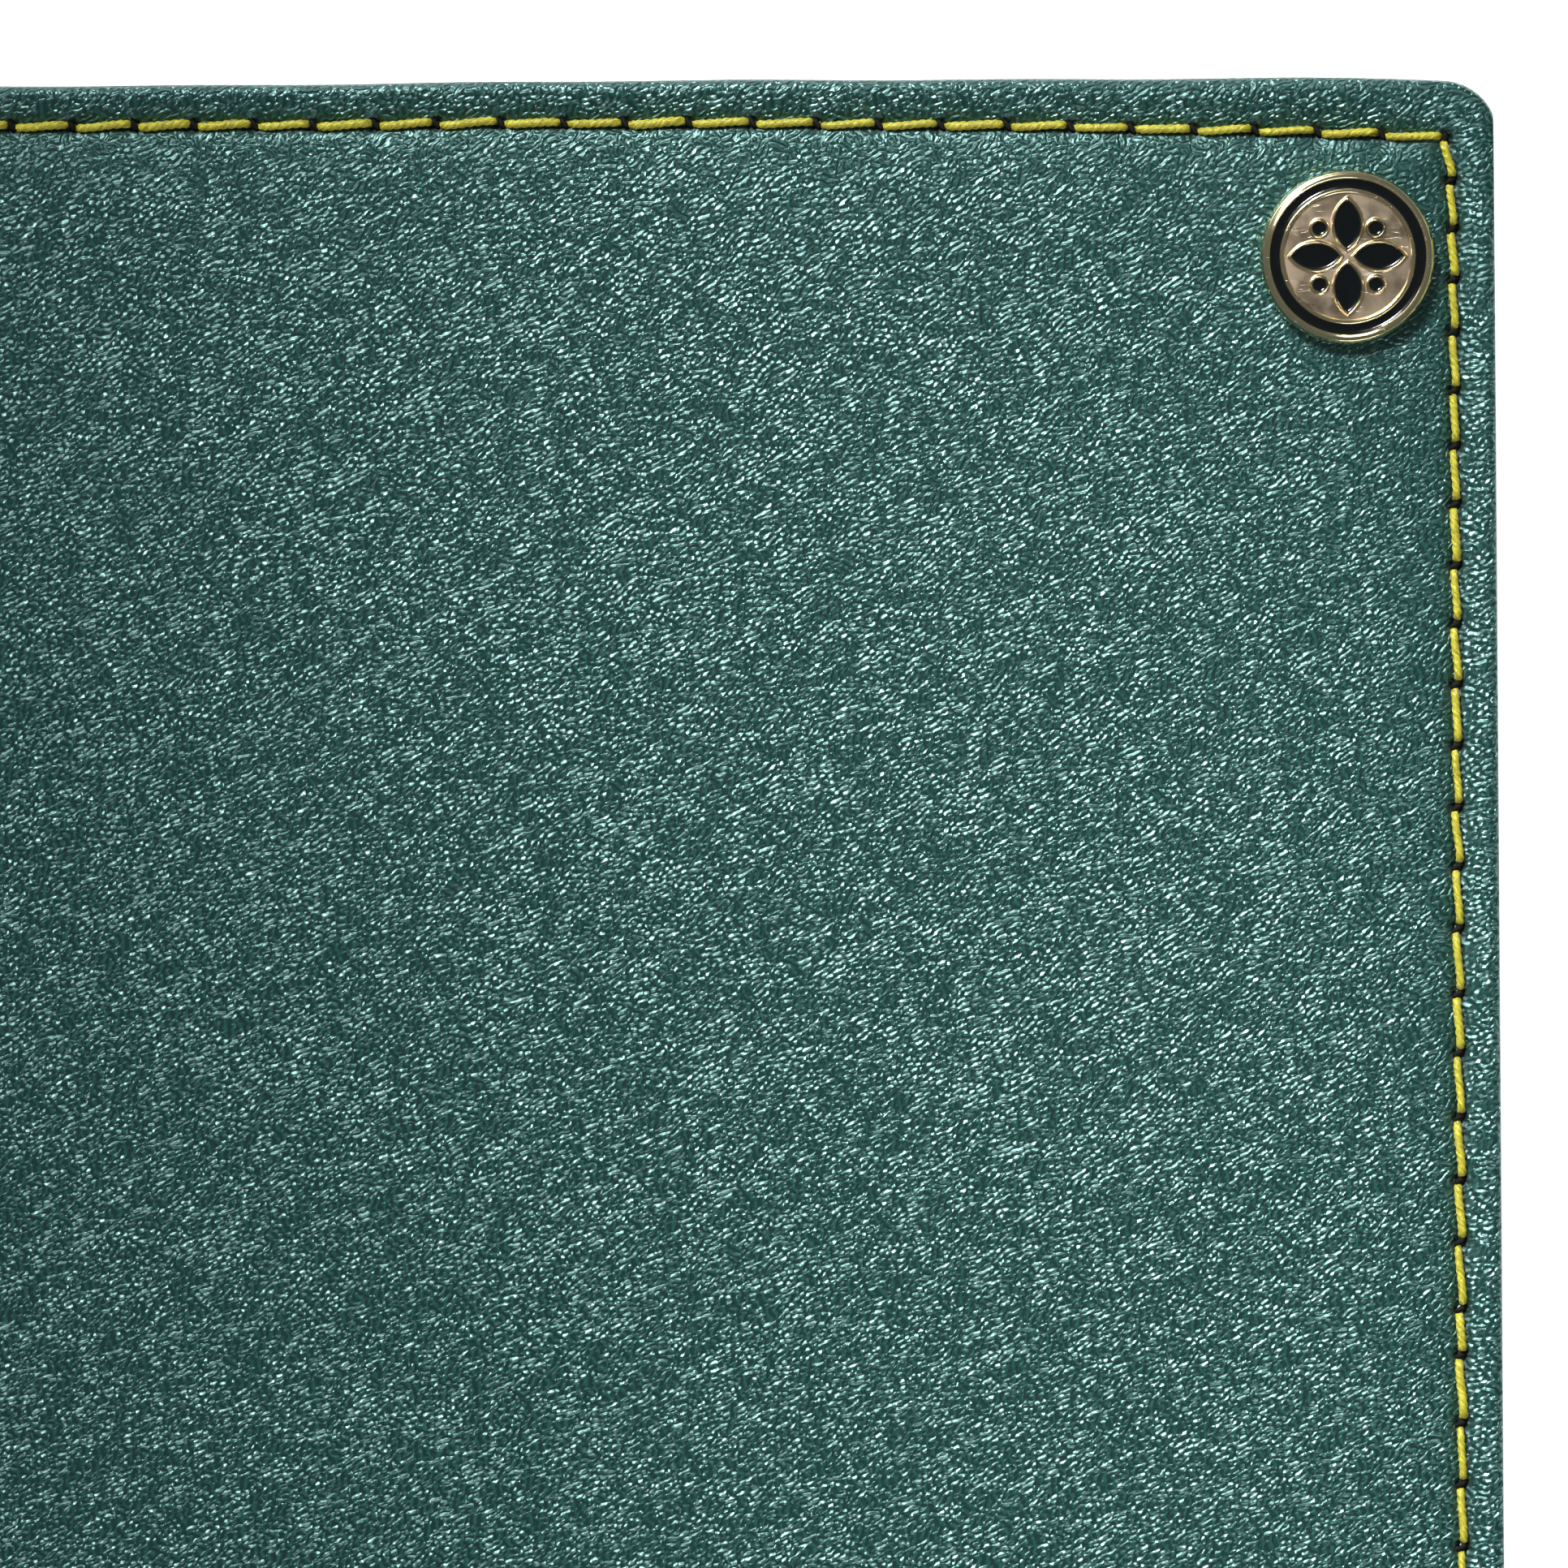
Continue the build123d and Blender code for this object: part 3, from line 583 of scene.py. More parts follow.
def case_points(s, y, holes=None, lift=0.0):
    """Points of the front half of the case at unrolled (s, y), with the seam's shape pressed in.
    Returns the points; how deep each is in the seam, or, when holes are given, a mark of painted shade along
    the seam's channel and round the needle holes; and coordinates for the grain that stay even round the
    corner."""
    s, y = np.broadcast_arrays(np.asarray(s, float), np.asarray(y, float))
    thick = depth_at(np.minimum(s, S_EDGE))
    d_s, d_y = S_EDGE - s, HALF_Y - np.abs(y)
    sign = np.where(y < 0, -1.0, 1.0)
    in_s, dep_s = edge_profile(d_s, thick)
    in_y, dep_y = edge_profile(d_y, thick)
    edge_s, edge_y = d_s < ROLL, d_y < ROLL
    # straight parts
    s_flat = np.where(edge_s, S_EDGE - in_s, s)
    y_flat = np.where(edge_y, HALF_Y - in_y, np.abs(y))
    depth = np.where(edge_s, dep_s, 0) + np.where(edge_y & ~edge_s, dep_y, 0)
    # corner: square rings become round ones
    corner, ring, angle = rounded_corner((CORNER_R - d_s) / CORNER_R, (CORNER_R - d_y) / CORNER_R)
    d_ring = CORNER_R * (1 - ring)
    in_ring, dep_ring = edge_profile(d_ring, thick)
    reach = CORNER_R - np.where(d_ring < ROLL, in_ring, d_ring)
    s_flat = np.where(corner, S_EDGE - CORNER_R + reach * np.cos(angle), s_flat)
    y_flat = np.where(corner, HALF_Y - CORNER_R + reach * np.sin(angle), y_flat)
    depth = np.where(corner, np.where(d_ring < ROLL, dep_ring, 0), depth)
    spread = CORNER_R * ring
    grain = np.stack([np.where(corner, S_EDGE - CORNER_R + spread * np.cos(angle), s),
                      sign * np.where(corner, HALF_Y - CORNER_R + spread * np.sin(angle), np.abs(y))], -1)
    # the head and tail edges ease in a little before they reach the corner
    in_s, in_y = np.maximum(S_EDGE - s_flat, 0), np.maximum(HALF_Y - y_flat, 0)
    s_flat = s_flat + 0.11 * smoothstep(1 - in_s / 4.0)
    y_flat = y_flat - 0.58 * np.exp(-in_s / 5.0) * smoothstep(1 - in_y / 5.0)
    # seam
    gap_y = d_y - seam_inset_head(s)
    gap_s = d_s - seam_inset_edge(HALF_Y - seam_inset_head(CORNER_S) - np.abs(y))
    past_corner = seam_shape(np.hypot(gap_y, gap_s)) * 0.9
    press_y = np.where(gap_s > -0.25, seam_shape(gap_y), past_corner)
    press_s = np.where(gap_y > -0.25, seam_shape(gap_s), past_corner)
    joint_fade = 0.45 + 0.55 * smoothstep((s - S_PANEL - 0.5) / 2.5)
    press = np.maximum(press_y * joint_fade, press_s)
    press = np.where((d_s > 0.2) & (d_y > 0.2), press, 0)
    # the margin and the pad are slightly uneven
    wave = 0.028 * np.sin(s * 0.21 + 1.3) * np.sin(y * 0.17 + 0.4) + 0.018 * np.sin(s * 0.53 + y * 0.31)
    inner = smoothstep((np.minimum(d_s, d_y) - 1.0) / 5.0)
    wave = wave * inner * smoothstep((s - S_PANEL - 1) / 5.0)
    wave = wave - 0.02 * (1 - inner) * np.sin(s * 0.9) * np.sin(y * 0.7)
    depth = depth + press - wave - lift
    if holes is not None:
        near, hole_shade = np.full(s.shape, 9.0), np.full(s.shape, 9.0)
        for (hs, hy), (es, ey) in zip(holes, hole_leans(holes)):
            close = (np.abs(s - hs) < 1.6) & (np.abs(y - hy) < 1.6)
            ds, dy = s[close] - hs, y[close] - hy
            near[close] = np.minimum(near[close], np.hypot(ds, dy))
            # painted shade round each needle hole: an oval nudged the way the crossing leans
            ds, dy = ds - 0.06 * es, dy - 0.06 * ey
            oval = np.hypot((ds * es + dy * ey) / 1.3, (ds * ey - dy * es) / 0.85)
            hole_shade[close] = np.minimum(hole_shade[close], oval)
        depth = depth + 0.5 * np.exp(-((near / 0.42) ** 3))
        # painted shade: the seam's channel is darkened a little to the side the thread shades, and an oval
        # round each needle hole
        groove = np.maximum(np.exp(-(((gap_y - 0.14) / 0.38) ** 2)) * (gap_s > -0.3),
                            np.exp(-(((gap_s + 0.14) / 0.38) ** 2)) * (gap_y > -0.3))
        press = np.maximum(groove * 0.68, np.exp(-((hole_shade / 0.52) ** 3)))
    x, z = under_face(s_flat, depth)
    # cut edges wander by a few hundredths of a millimetre
    drift = 0.05 * np.sin(s * 0.11 + 0.5) + 0.03 * np.sin(s * 0.37)
    y_out = sign * (y_flat + drift * smoothstep(1 - d_y / 20.0))
    return np.stack([x, y_out, z], axis=-1), press, grain


def seam_holes():
    """Needle holes in unrolled coordinates, from the spine's middle at the head, by way of the fore-edge, to
    its middle at the tail."""
    corner_y = HALF_Y - float(seam_inset_head(CORNER_S))
    head = []
    s = S_EDGE - float(seam_inset_edge(0.0))
    while s > 0.55 * PITCH:
        head.append(s)
        s -= PITCH * (1 + 0.035 * rng.standard_normal())
    if head[-1] > 1.2 * PITCH:
        head[-1] = 0.5 * (head[-2] + head[-1] * 0.5)
    head.append(0.0)
    top = [(q, HALF_Y - float(seam_inset_head(q))) for q in head[::-1]]
    ys = [corner_y]
    while ys[-1] > 0:
        step = PITCH - 1.0 * math.exp(-(len(ys) - 1) / 5.0) + 0.14 * rng.standard_normal()
        ys.append(ys[-1] - step)
    lower = [-v for v in ys[:-1]][::-1]
    crowded = ys[-2] - lower[0] < 2.4
    ys = ys[:-2] if crowded else ys[:-1]
    side = [(S_EDGE - float(seam_inset_edge(corner_y - abs(v))), v) for v in ys[1:] + lower[:-1]]
    bottom = [(q, -y) for q, y in top[::-1]]
    return top + side + bottom


HOLES = seam_holes()
LEANS = hole_leans(HOLES)

# ---------------------------------------------------------------- case leatherette


def case_lines():
    """Grid lines in s and y: close together at the turned edges, the seam and the needle holes."""
    edge = np.concatenate([
        -np.linspace(0, 1, 13) * (wall_length(PANEL_H)),
        [0.12, 0.25, 0.4, 0.55, 0.75, 0.95, 1.2, 1.5, 1.8, 2.05, 2.25, 2.45, 2.62, 2.8,
         3.0, 3.25, 3.6, 4.1, 4.8, 5.7],
    ])
    hole_s = [h[0] for h in HOLES if abs(h[1]) > HALF_Y - 4.2]
    hole_y = [h[1] for h in HOLES if h[0] > S_EDGE - 4.0]
    around = (-0.45, -0.18, 0.18, 0.45)
    s_lines = [S_EDGE - v for v in edge]
    s_lines += [h + v for h in hole_s if h < S_EDGE - 4.5 for v in around]
    s_lines += list(np.linspace(0, SPINE_LEG - TURN_R, 8))
    s_lines += list(np.linspace(SPINE_LEG - TURN_R, SPINE_LEG + TURN_R, 8))
    s_lines += list(np.linspace(SPINE_LEG + TURN_R, S_PANEL + 2.0, 14))
    s_lines += list(np.arange(S_PANEL + 3, S_EDGE - 5.7, 1.3))
    y_lines = [HALF_Y - v for v in edge] + [v - HALF_Y for v in edge]
    y_lines += [h + v for h in hole_y if abs(h) < HALF_Y - 5 for v in around]
    y_lines += list(np.arange(-HALF_Y + 6.5, HALF_Y - 5.7, 1.3))
    return clean(s_lines, 0.09), clean(y_lines, 0.09)


S_LINES, Y_LINES = case_lines()


def mirrored(points, back):
    """Points of the front half of the case, or the same turned over for the back."""
    if not back:
        return points
    flipped = points.copy()
    flipped[..., 2] = TOP_Z - flipped[..., 2]
    return flipped


def inner_lines(lines, low_edge, high_edge, keep=(), step=4.0):
    """A coarse subset of lines for the hidden inner face, always with both ends."""
    chosen = [0]
    for i in range(1, len(lines) - 1):
        v = lines[i]
        if not (low_edge < v < high_edge):
            continue
        if v - lines[chosen[-1]] >= (0.7 if any(a <= v <= b for a, b in keep) else step) or chosen[-1] == 0:
            chosen.append(i)
    chosen.append(len(lines) - 1)
    return np.array(chosen)


def case_leather(name, back):
    """One cover's leatherette, from the spine's middle to the fore-edge, turned in round the edges."""
    s, y = np.meshgrid(S_LINES, Y_LINES, indexing="ij")
    # turned edges of the thin parts are shorter: squeeze their wall lines
    wall = wall_length(depth_at(np.minimum(S_LINES, S_EDGE)))[:, None]
    d_y = HALF_Y - np.abs(y)
    y_used = np.sign(y) * (HALF_Y - np.where(d_y < 0, d_y * wall / wall_length(PANEL_H), d_y))
    outer, seam, grain = case_points(s, y_used, HOLES)
    outer = mirrored(outer, back)
    ni, nj = s.shape
    ids = np.arange(ni * nj).reshape(ni, nj)
    faces = grid_faces(ids, flip=back)
    # the inner face, SKIN below the outer one, meets the turned edge 1 mm in
    ki = inner_lines(S_LINES, -1, S_EDGE - 1.2, keep=[(0, S_PANEL + 3)])
    kj = inner_lines(Y_LINES, -HALF_Y + 1.2, HALF_Y - 1.2)
    si, yi = np.meshgrid(S_LINES[ki], Y_LINES[kj], indexing="ij")
    si = np.minimum(si, S_EDGE - 1.04)
    yi = np.clip(yi, -HALF_Y + 1.04, HALF_Y - 1.04)
    px, pz = under_face(si, SKIN)
    inner = np.stack([px, yi, pz], axis=-1)
    cut = (np.abs(yi) > HALF_Y - 1.1) & (si > S_EDGE - 1.1)
    inner[..., 0] = np.where(cut, inner[..., 0] - 0.35, inner[..., 0])
    inner[..., 1] = np.where(cut, inner[..., 1] - np.sign(yi) * 0.35, inner[..., 1])
    inner = mirrored(inner, back)
    base = ni * nj
    inner_ids = base + np.arange(inner.shape[0] * inner.shape[1]).reshape(inner.shape[:2])
    faces += grid_faces(inner_ids, flip=not back)

    def zip_side(outer_run, inner_run, picks, turn):
        for k in range(len(picks) - 1):
            run = outer_run[picks[k]: picks[k + 1] + 1].tolist()
            face = run + [int(inner_run[k + 1]), int(inner_run[k])]
            faces.append(face[::-1] if turn else face)

    zip_side(ids[:, 0], inner_ids[:, 0], ki, not back)
    zip_side(ids[:, -1], inner_ids[:, -1], ki, back)
    zip_side(ids[0, :], inner_ids[0, :], kj, back)
    zip_side(ids[-1, :], inner_ids[-1, :], kj, not back)
    points = np.concatenate([outer.reshape(-1, 3), inner.reshape(-1, 3)])
    uv = np.concatenate([grain.reshape(-1, 2), np.stack([si, yi], -1).reshape(-1, 2)])
    if back:
        uv = uv + np.array([400.0, 0.0])
    # the seam mark is painted shade along the seam's channel and round the needle holes
    marks = np.concatenate([seam.ravel(), np.zeros(inner.shape[0] * inner.shape[1])])
    return make_mesh(name, points, faces, uv=uv, marks={"seam": marks}, materials=[LEATHER])


def bend_over(piece):
    """Bakes a piece's placement into its points."""
    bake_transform(piece)


front_leather = case_leather("front_leatherette", False)
back_leather = case_leather("back_leatherette", True)
bend_over(front_leather)
bend_over(back_leather)
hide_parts("front_skin", "front_joint_leather", "spine_skin")
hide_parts("back_skin", "back_joint_leather", "spine_skin")

# ---------------------------------------------------------------- sewing thread

STRANDS = 3


def rope_ring(radius, turn, count):
    """Outline of three strands laid together, turned by this angle."""
    strand, away = radius * 0.56, radius * 0.46
    angles = np.arange(count) / count * 2 * math.pi
    best = np.zeros(count)
    for k in range(STRANDS):
        off = angles - turn - k * 2 * math.pi / STRANDS
        across = away * np.sin(off)
        inside = strand**2 - across**2
        reach = np.where(inside > 0, away * np.cos(off) + np.sqrt(np.maximum(inside, 0)), 0)
        best = np.maximum(best, reach)
    return angles, np.maximum(best, radius * 0.55)


def sweep(centres, radius, lay, count, phase=0.0, up=(0.0, 0.0, 1.0)):
    """A twisted thread along these points: points, quads and unrolled coordinates."""
    centres = np.asarray(centres)
    steps = np.linalg.norm(np.diff(centres, axis=0), axis=1)
    run = np.concatenate([[0], np.cumsum(steps)])
    tangent = np.gradient(centres, run, axis=0)
    tangent /= np.linalg.norm(tangent, axis=1)[:, None]
    side = np.cross(tangent, np.asarray(up))
    side /= np.maximum(np.linalg.norm(side, axis=1)[:, None], 1e-9)
    lift = np.cross(side, tangent)
    pts, uvs = [], []
    for i, centre in enumerate(centres):
        turn = phase + run[i] / lay * 2 * math.pi
        angles, reach = rope_ring(radius, turn, count)
        end = min(i, len(centres) - 1 - i)
        reach = reach * (0.35 if end == 0 else 0.85 if end == 1 else 1.0)
        pts.append(centre + side[i] * (np.cos(angles) * reach)[:, None]
                   + lift[i] * (np.sin(angles) * reach)[:, None])
        uvs.append(np.stack([np.full(count, run[i] * 0.6) + (angles - turn) * radius * 0.5,
                             (angles - turn) * radius - run[i] * 0.2], -1))
    ids = ring_ids(len(centres), count)
    faces = grid_faces(ids) + [ids[0, :-1].tolist(), ids[-1, :-1][::-1].tolist()]
    return np.concatenate(pts), faces, np.concatenate(uvs)


class Bundle:
    """Collects many small pieces into one mesh."""

    def __init__(self):
        self.points, self.faces, self.uv, self.index = [], [], [], []
        self.count = 0

    def take(self, points, faces, uv, index=0):
        self.faces += [[v + self.count for v in f] for f in faces]
        self.index += [index] * len(faces)
        self.points.append(points)
        self.uv.append(uv)
        self.count += len(points)

    def build(self, name, materials):
        return make_mesh(name, np.concatenate(self.points), self.faces, uv=np.concatenate(self.uv),
                         materials=materials, indices=self.index)


def stitch_path(a, b, slant, count=25):
    """Unrolled positions and heights of one stitch between two needle holes."""
    a, b = np.array(a), np.array(b)
    along = b - a
    length = np.linalg.norm(along)
    along = along / length
    out = np.array([-along[1], along[0]])
    t = np.concatenate([[0, 0.03, 0.055], np.linspace(0.085, 0.915, count - 6), [0.945, 0.97, 1]])
    flat = a + along * (0.2 + (length - 0.4) * t)[:, None]
    flat = flat + out * (slant * (smoothstep((t - 0.05) / 0.9) - 0.5))[:, None]
    dive = np.minimum(t, 1 - t) * length
    height = 0.24 * smoothstep(dive / 0.5) - 0.6 * (1 - smoothstep(dive / 0.42))
    height = height + 0.06 * np.sin(t * math.pi)
    return flat, height


def over_face(flat, height, back):
    """Points this high over the case's outer face at unrolled positions."""
    ground, lifted = (case_points(flat[:, 0], flat[:, 1], lift=lift)[0] for lift in (0.0, 1.0))
    normal = lifted - ground
    normal /= np.linalg.norm(normal, axis=1)[:, None]
    return mirrored(ground + normal * height[:, None], back)


def away_from_case(s, back):
    return (-1, 0, 0) if s < SPINE_LEG else (0, 0, -1) if back else (0, 0, 1)


def needle_thread(name, back):
    """The outer stitches, and loops of near-black bobbin thread in the needle holes, which also stand in for
    the holes' shade.
    """
    bundle = Bundle()
    for (s, y), end in zip(HOLES, HOLES[1:]):
        slant = 0.21 + 0.05 * rng.standard_normal()
        near_corner = abs(abs(y) - HALF_Y + 3.8) < 2.5 and s > S_EDGE - 4
        flat, height = stitch_path((s, y), end, slant * (1.5 if near_corner else 1.0))
        size = THREAD_R * (1 + 0.05 * rng.standard_normal())
        bundle.take(*sweep(over_face(flat, height, back), size, 1.5, 18, rng.uniform(0, 6.28),
                           away_from_case(s, back)))
    # painted shade in part: near-black bobbin loops sit in the needle holes to darken them
    t = np.linspace(-1, 1, 9)
    for (s, y), lean in zip(HOLES, LEANS):
        if s > 0.0:
            flat = np.array([s, y]) + 0.46 * np.array(lean) * t[:, None]
            loop = over_face(flat, 0.02 - 0.4 * np.abs(t) ** 2, back)
            bundle.take(*sweep(loop, 0.19, 0.9, 12, 0.5, away_from_case(s, back)), index=1)
    return bundle.build(name, [YELLOW, DARK_THREAD])


def bobbin_thread(name, back):
    """The stitches on the lining side."""
    bundle = Bundle()
    for start, end in zip(HOLES, HOLES[1:]):
        if min(start[0], end[0]) < S_PANEL + 0.3:
            continue
        flat, height = stitch_path(start, end, -0.2, count=17)
        x, _ = under_face(flat[:, 0], 0.0)
        # hidden ends sink into the lining; the middle lies on it
        z = INNER_Z + 0.19 - (height + 0.45) * 0.34
        centres = mirrored(np.stack([x, flat[:, 1], z], -1), back)
        bundle.take(*sweep(centres, 0.2, 1.1, 12, rng.uniform(0, 6.28), (0, 0, 1 if back else -1)))
    return bundle.build(name, [DARK_THREAD])


for side, back in (("front", False), ("back", True)):
    needle = needle_thread(f"{side}_seam_thread", back)
    bend_over(needle)
    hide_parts(f"{side}_needle_thread", "spine_needle_thread")
    bobbin = bobbin_thread(f"{side}_inner_thread", back)
    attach(bobbin, f"{side}_cover")
    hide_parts(f"{side}_bobbin_thread")

# ---------------------------------------------------------------- flat layers


def outline_map(x, y, x_high, half, radius):
    """Square grid positions moved so that the two fore-edge corners are round."""
    corner, ring, angle = rounded_corner((x - (x_high - radius)) / radius,
                                         (np.abs(y) - (half - radius)) / radius)
    x_new = np.where(corner, x_high - radius + radius * ring * np.cos(angle), x)
    y_new = np.where(corner, np.sign(y) * (half - radius + radius * ring * np.sin(angle)), y)
    return x_new, y_new


def slab(name, node, material, trim=(0.0, 0.0), radius=3.0, layers=1, rough_edge=0.0, fold=0.0, seed=1):
    """A closed flat layer that fills a node's box, less what trim takes off below and above, with rounded
    fore-edge corners. rough_edge moves each layer's cut edge a little, fold rounds the edge at the spine."""
    local = np.random.default_rng(seed)
    (x_low, _, z_low), (x_high, half, z_high) = node_box(node)
    z_low, z_high = z_low + trim[0], z_high - trim[1]
    near = [0, 0.3, 0.7, 1.2, 1.8, 2.5, 3.3, 4.2, 5.2, 6.4, 8, 10, 13]
    corner = [0, 0.12, 0.35, 0.7, 1.2, 1.8, 2.4, radius, radius + 1.2]
    xs = clean([x_low + v for v in near] + list(np.arange(x_low + 17, x_high - radius - 2, 6.0))
               + [x_high - v for v in corner])
    ys = clean([half - v for v in corner] + [v - half for v in corner]
               + list(np.arange(-half + radius + 4, half - radius - 2, 6.0)))
    x, y = outline_map(*np.meshgrid(xs, ys, indexing="ij"), x_high, half, radius)
    pinch = np.maximum(fold - (x - x_low), 0) / fold if fold else np.zeros_like(x)
    rise = (z_high - z_low) / 2 * (1 - 0.85 * pinch**2)
    middle = (z_low + z_high) / 2
    bottom, top = (np.stack([x, y, middle + side * rise], -1).reshape(-1, 3) for side in (-1, 1))
    n = len(bottom)
    ids = np.arange(n).reshape(x.shape)
    faces = grid_faces(ids, flip=True) + grid_faces(ids + n)
    loop = border(ids)
    ring_low, ring_high = bottom[loop], top[loop]
    edge = np.roll(ring_low, -1, axis=0) - np.roll(ring_low, 1, axis=0)
    outward = np.stack([edge[:, 1], -edge[:, 0]], -1)
    outward /= np.maximum(np.linalg.norm(outward, axis=1)[:, None], 1e-9)
    points, rings = [bottom, top], [loop]
    turns = np.arange(len(loop))
    for level in np.linspace(0, 1, layers + 1)[1:-1]:
        wobble = rough_edge * local.standard_normal() \
            + rough_edge * 0.4 * np.sin(turns * 0.37 + local.uniform(0, 6))
        if fold:
            wobble = np.where(ring_low[:, 0] < x_low + 0.5, 0.0, wobble)
        ring = ring_low + (ring_high - ring_low) * level
        ring[:, :2] += outward * wobble[:, None]
        points.append(ring)
        rings.append(2 * n + len(loop) * (len(rings) - 1) + turns)
    rings.append(loop + n)
    for low, high in zip(rings[:-1], rings[1:]):
        faces += np.stack([low, np.roll(low, -1), np.roll(high, -1), high], -1).tolist()
    points = np.concatenate(points)
    cut = np.ones(len(points))
    cut[:2 * n] = 0
    cut[loop] = cut[loop + n] = 0.6
    return make_mesh(name, points, faces, uv=points[:, :2], marks={"cut": cut}, materials=[material],
                     smooth=False)


def shade_by_angle(piece, degrees=35):
    """Smooth shading except over sharp edges."""
    mesh = piece.data
    mesh.polygons.foreach_set("use_smooth", np.full(len(mesh.polygons), True))
    mesh.set_sharp_from_angle(angle=math.radians(degrees))


shade_by_angle(front_leather, 55)
shade_by_angle(back_leather, 55)


def page_blend(piece):
    """Bakes the paper's placement into its points."""
    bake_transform(piece)


for number in range(1, 9):
    piece = slab(f"pages_{number}", f"section_{number}", LEAVES, layers=9, rough_edge=0.035, fold=0.5,
                 seed=number)
    shade_by_angle(piece, 50)
    page_blend(piece)
    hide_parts(f"section_{number}")

for side, hinge in (("front", FRONT_HINGE), ("back", BACK_HINGE)):
    piece = slab(f"{side}_flyleaf_sheet", f"{side}_flyleaf", PAPER)
    page_blend(piece)
    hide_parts(f"{side}_flyleaf")
    piece = slab(f"{side}_pastedown_sheet", f"{side}_pastedown", PAPER)
    bend_over(piece)
    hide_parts(f"{side}_pastedown")
    piece = slab(f"{side}_padding", f"{side}_foam", FOAM, trim=(0.04, 0.08), radius=2.0)
    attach(piece, f"{side}_cover")
    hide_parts(f"{side}_foam")


def case_lining(name, back):
    """The lining on a cover's inner face, from the spine's middle to the turned edge."""
    inset = 1.06
    near_edge = (inset, 1.3, 1.5, 1.9, 2.4, 2.9, 3.4, 4)
    s_vals = clean(list(np.linspace(0, S_PANEL + 3, 34)) + list(np.arange(S_PANEL + 6, S_EDGE - 4, 5.0))
                   + [S_EDGE - v for v in near_edge])
    y_vals = clean([HALF_Y - v for v in near_edge] + [v - HALF_Y for v in near_edge]
                   + list(np.arange(-HALF_Y + 8, HALF_Y - 6, 5.0)))
    s, y = np.meshgrid(s_vals, y_vals, indexing="ij")
    s_round, y_round = outline_map(s, y, S_EDGE - inset, HALF_Y - inset, 2.0)
    shift = np.where(s > S_EDGE - 6, s_round - s, 0)
    layers = []
    for depth in (depth_at(s) - LINING + 0.03, depth_at(s)):
        x, z = under_face(s, depth)
        layers.append(mirrored(np.stack([x + shift, y_round, z], -1), back))
    points, faces = closed_sheet(*layers, flip=back)
    return make_mesh(name, points, faces, uv=points[:, :2], materials=[LINING_SKIN])


for side, back in (("front", False), ("back", True)):
    piece = case_lining(f"{side}_case_lining", back)
    shade_by_angle(piece, 40)
    bend_over(piece)
    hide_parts(f"{side}_lining", "spine_lining")

# ---------------------------------------------------------------- end bands


def end_band(name, node):
    """A bead of two colours of thread wound round a core, standing at one end of the folds."""
    (x_low, y_low, z_low), (x_high, y_high, z_high) = node_box(node)
    x_mid = x_high - 0.6
    y_mid = y_high - 0.6 if y_high > 0 else y_low + 0.6
    bundle = Bundle()
    wraps, core, thread = 22, 0.44, 0.155
    pitch = (z_high - z_low - 0.3) / wraps
    around, across = np.meshgrid(np.arange(18) * 2 * math.pi / 18, np.arange(8) * 2 * math.pi / 8,
                                 indexing="ij")
    reach = core + thread * np.cos(across)
    ids = ring_ids(*around.shape)
    faces = grid_faces(np.concatenate([ids, ids[:1]]))
    uv = np.stack([around * core, across * 0.15], -1).reshape(-1, 2)
    for k in range(wraps):
        z = z_low + 0.15 + pitch * (k + 0.5 + 0.56 * np.sin(across) + 0.1 * np.sin(around))
        wrap = np.stack([x_mid + reach * np.cos(around), y_mid + reach * np.sin(around), z], -1)
        bundle.take(wrap.reshape(-1, 3), faces, uv, index=(k // 2) % 2)
    # woven tongue glued down beside the gauze
    y, z = np.meshgrid(np.linspace(*((y_low, y_mid) if y_high > 0 else (y_mid, y_high)), 9),
                       np.linspace(z_low + 0.1, z_high - 0.1, 13), indexing="ij")
    x = x_low + 0.02 + smoothstep((np.abs(y) - abs(y_mid) + 1.2) / 1.2) * (x_mid - x_low - 0.3)
    points, faces = closed_sheet(np.stack([x, y, z], -1), np.stack([x + 0.22, y, z], -1), flip=False)
    bundle.take(points, faces, points[:, 1:], index=2)
    return bundle.build(name, [YELLOW, BAND_GREEN, GAUZE])


BAND_GREEN = thread_material("green_thread", rgb(20, 58, 50), rgb(52, 104, 92))
for node, name in (("head_band", "head_band_bead"), ("tail_band", "tail_band_bead")):
    piece = end_band(name, node)
    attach(piece, "spine")
    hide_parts(node)

# ---------------------------------------------------------------- badge

ring_low, ring_high = node_box("badge_ring_enamel")
BADGE_X, BADGE_Y = (ring_low[:2] + ring_high[:2]) / 2
badge_low, badge_high = node_box("badge_body")
BADGE_FOOT, BADGE_TOP = badge_low[2], badge_high[2]
BADGE_R = (badge_high[0] - badge_low[0]) / 2
FLOOR_Z = TOP_Z + 1.12
RING_IN, RING_OUT = 4.2, 4.75


def emblem_distance(x, y):
    """Signed distance to the emblem's enamel fields: four pointed ovals and four dots, negative inside."""
    best = np.full(np.shape(x), 9.0)
    mid, half_len, half_wide = 1.95, 1.5, 0.8
    arc_r = (half_len**2 + half_wide**2) / (2 * half_wide)
    shift = arc_r - half_wide
    for k in range(4):
        turn = math.pi / 2 * (k + 1)
        u = x * math.cos(turn) + y * math.sin(turn) - mid
        v = -x * math.sin(turn) + y * math.cos(turn)
        lens = np.maximum(np.hypot(u, v + shift), np.hypot(u, v - shift)) - arc_r
        best = np.minimum(best, lens)
        turn += math.pi / 4
        dot = np.hypot(x - 2.45 * math.cos(turn), y - 2.45 * math.sin(turn)) - 0.42
        best = np.minimum(best, dot)
    return best


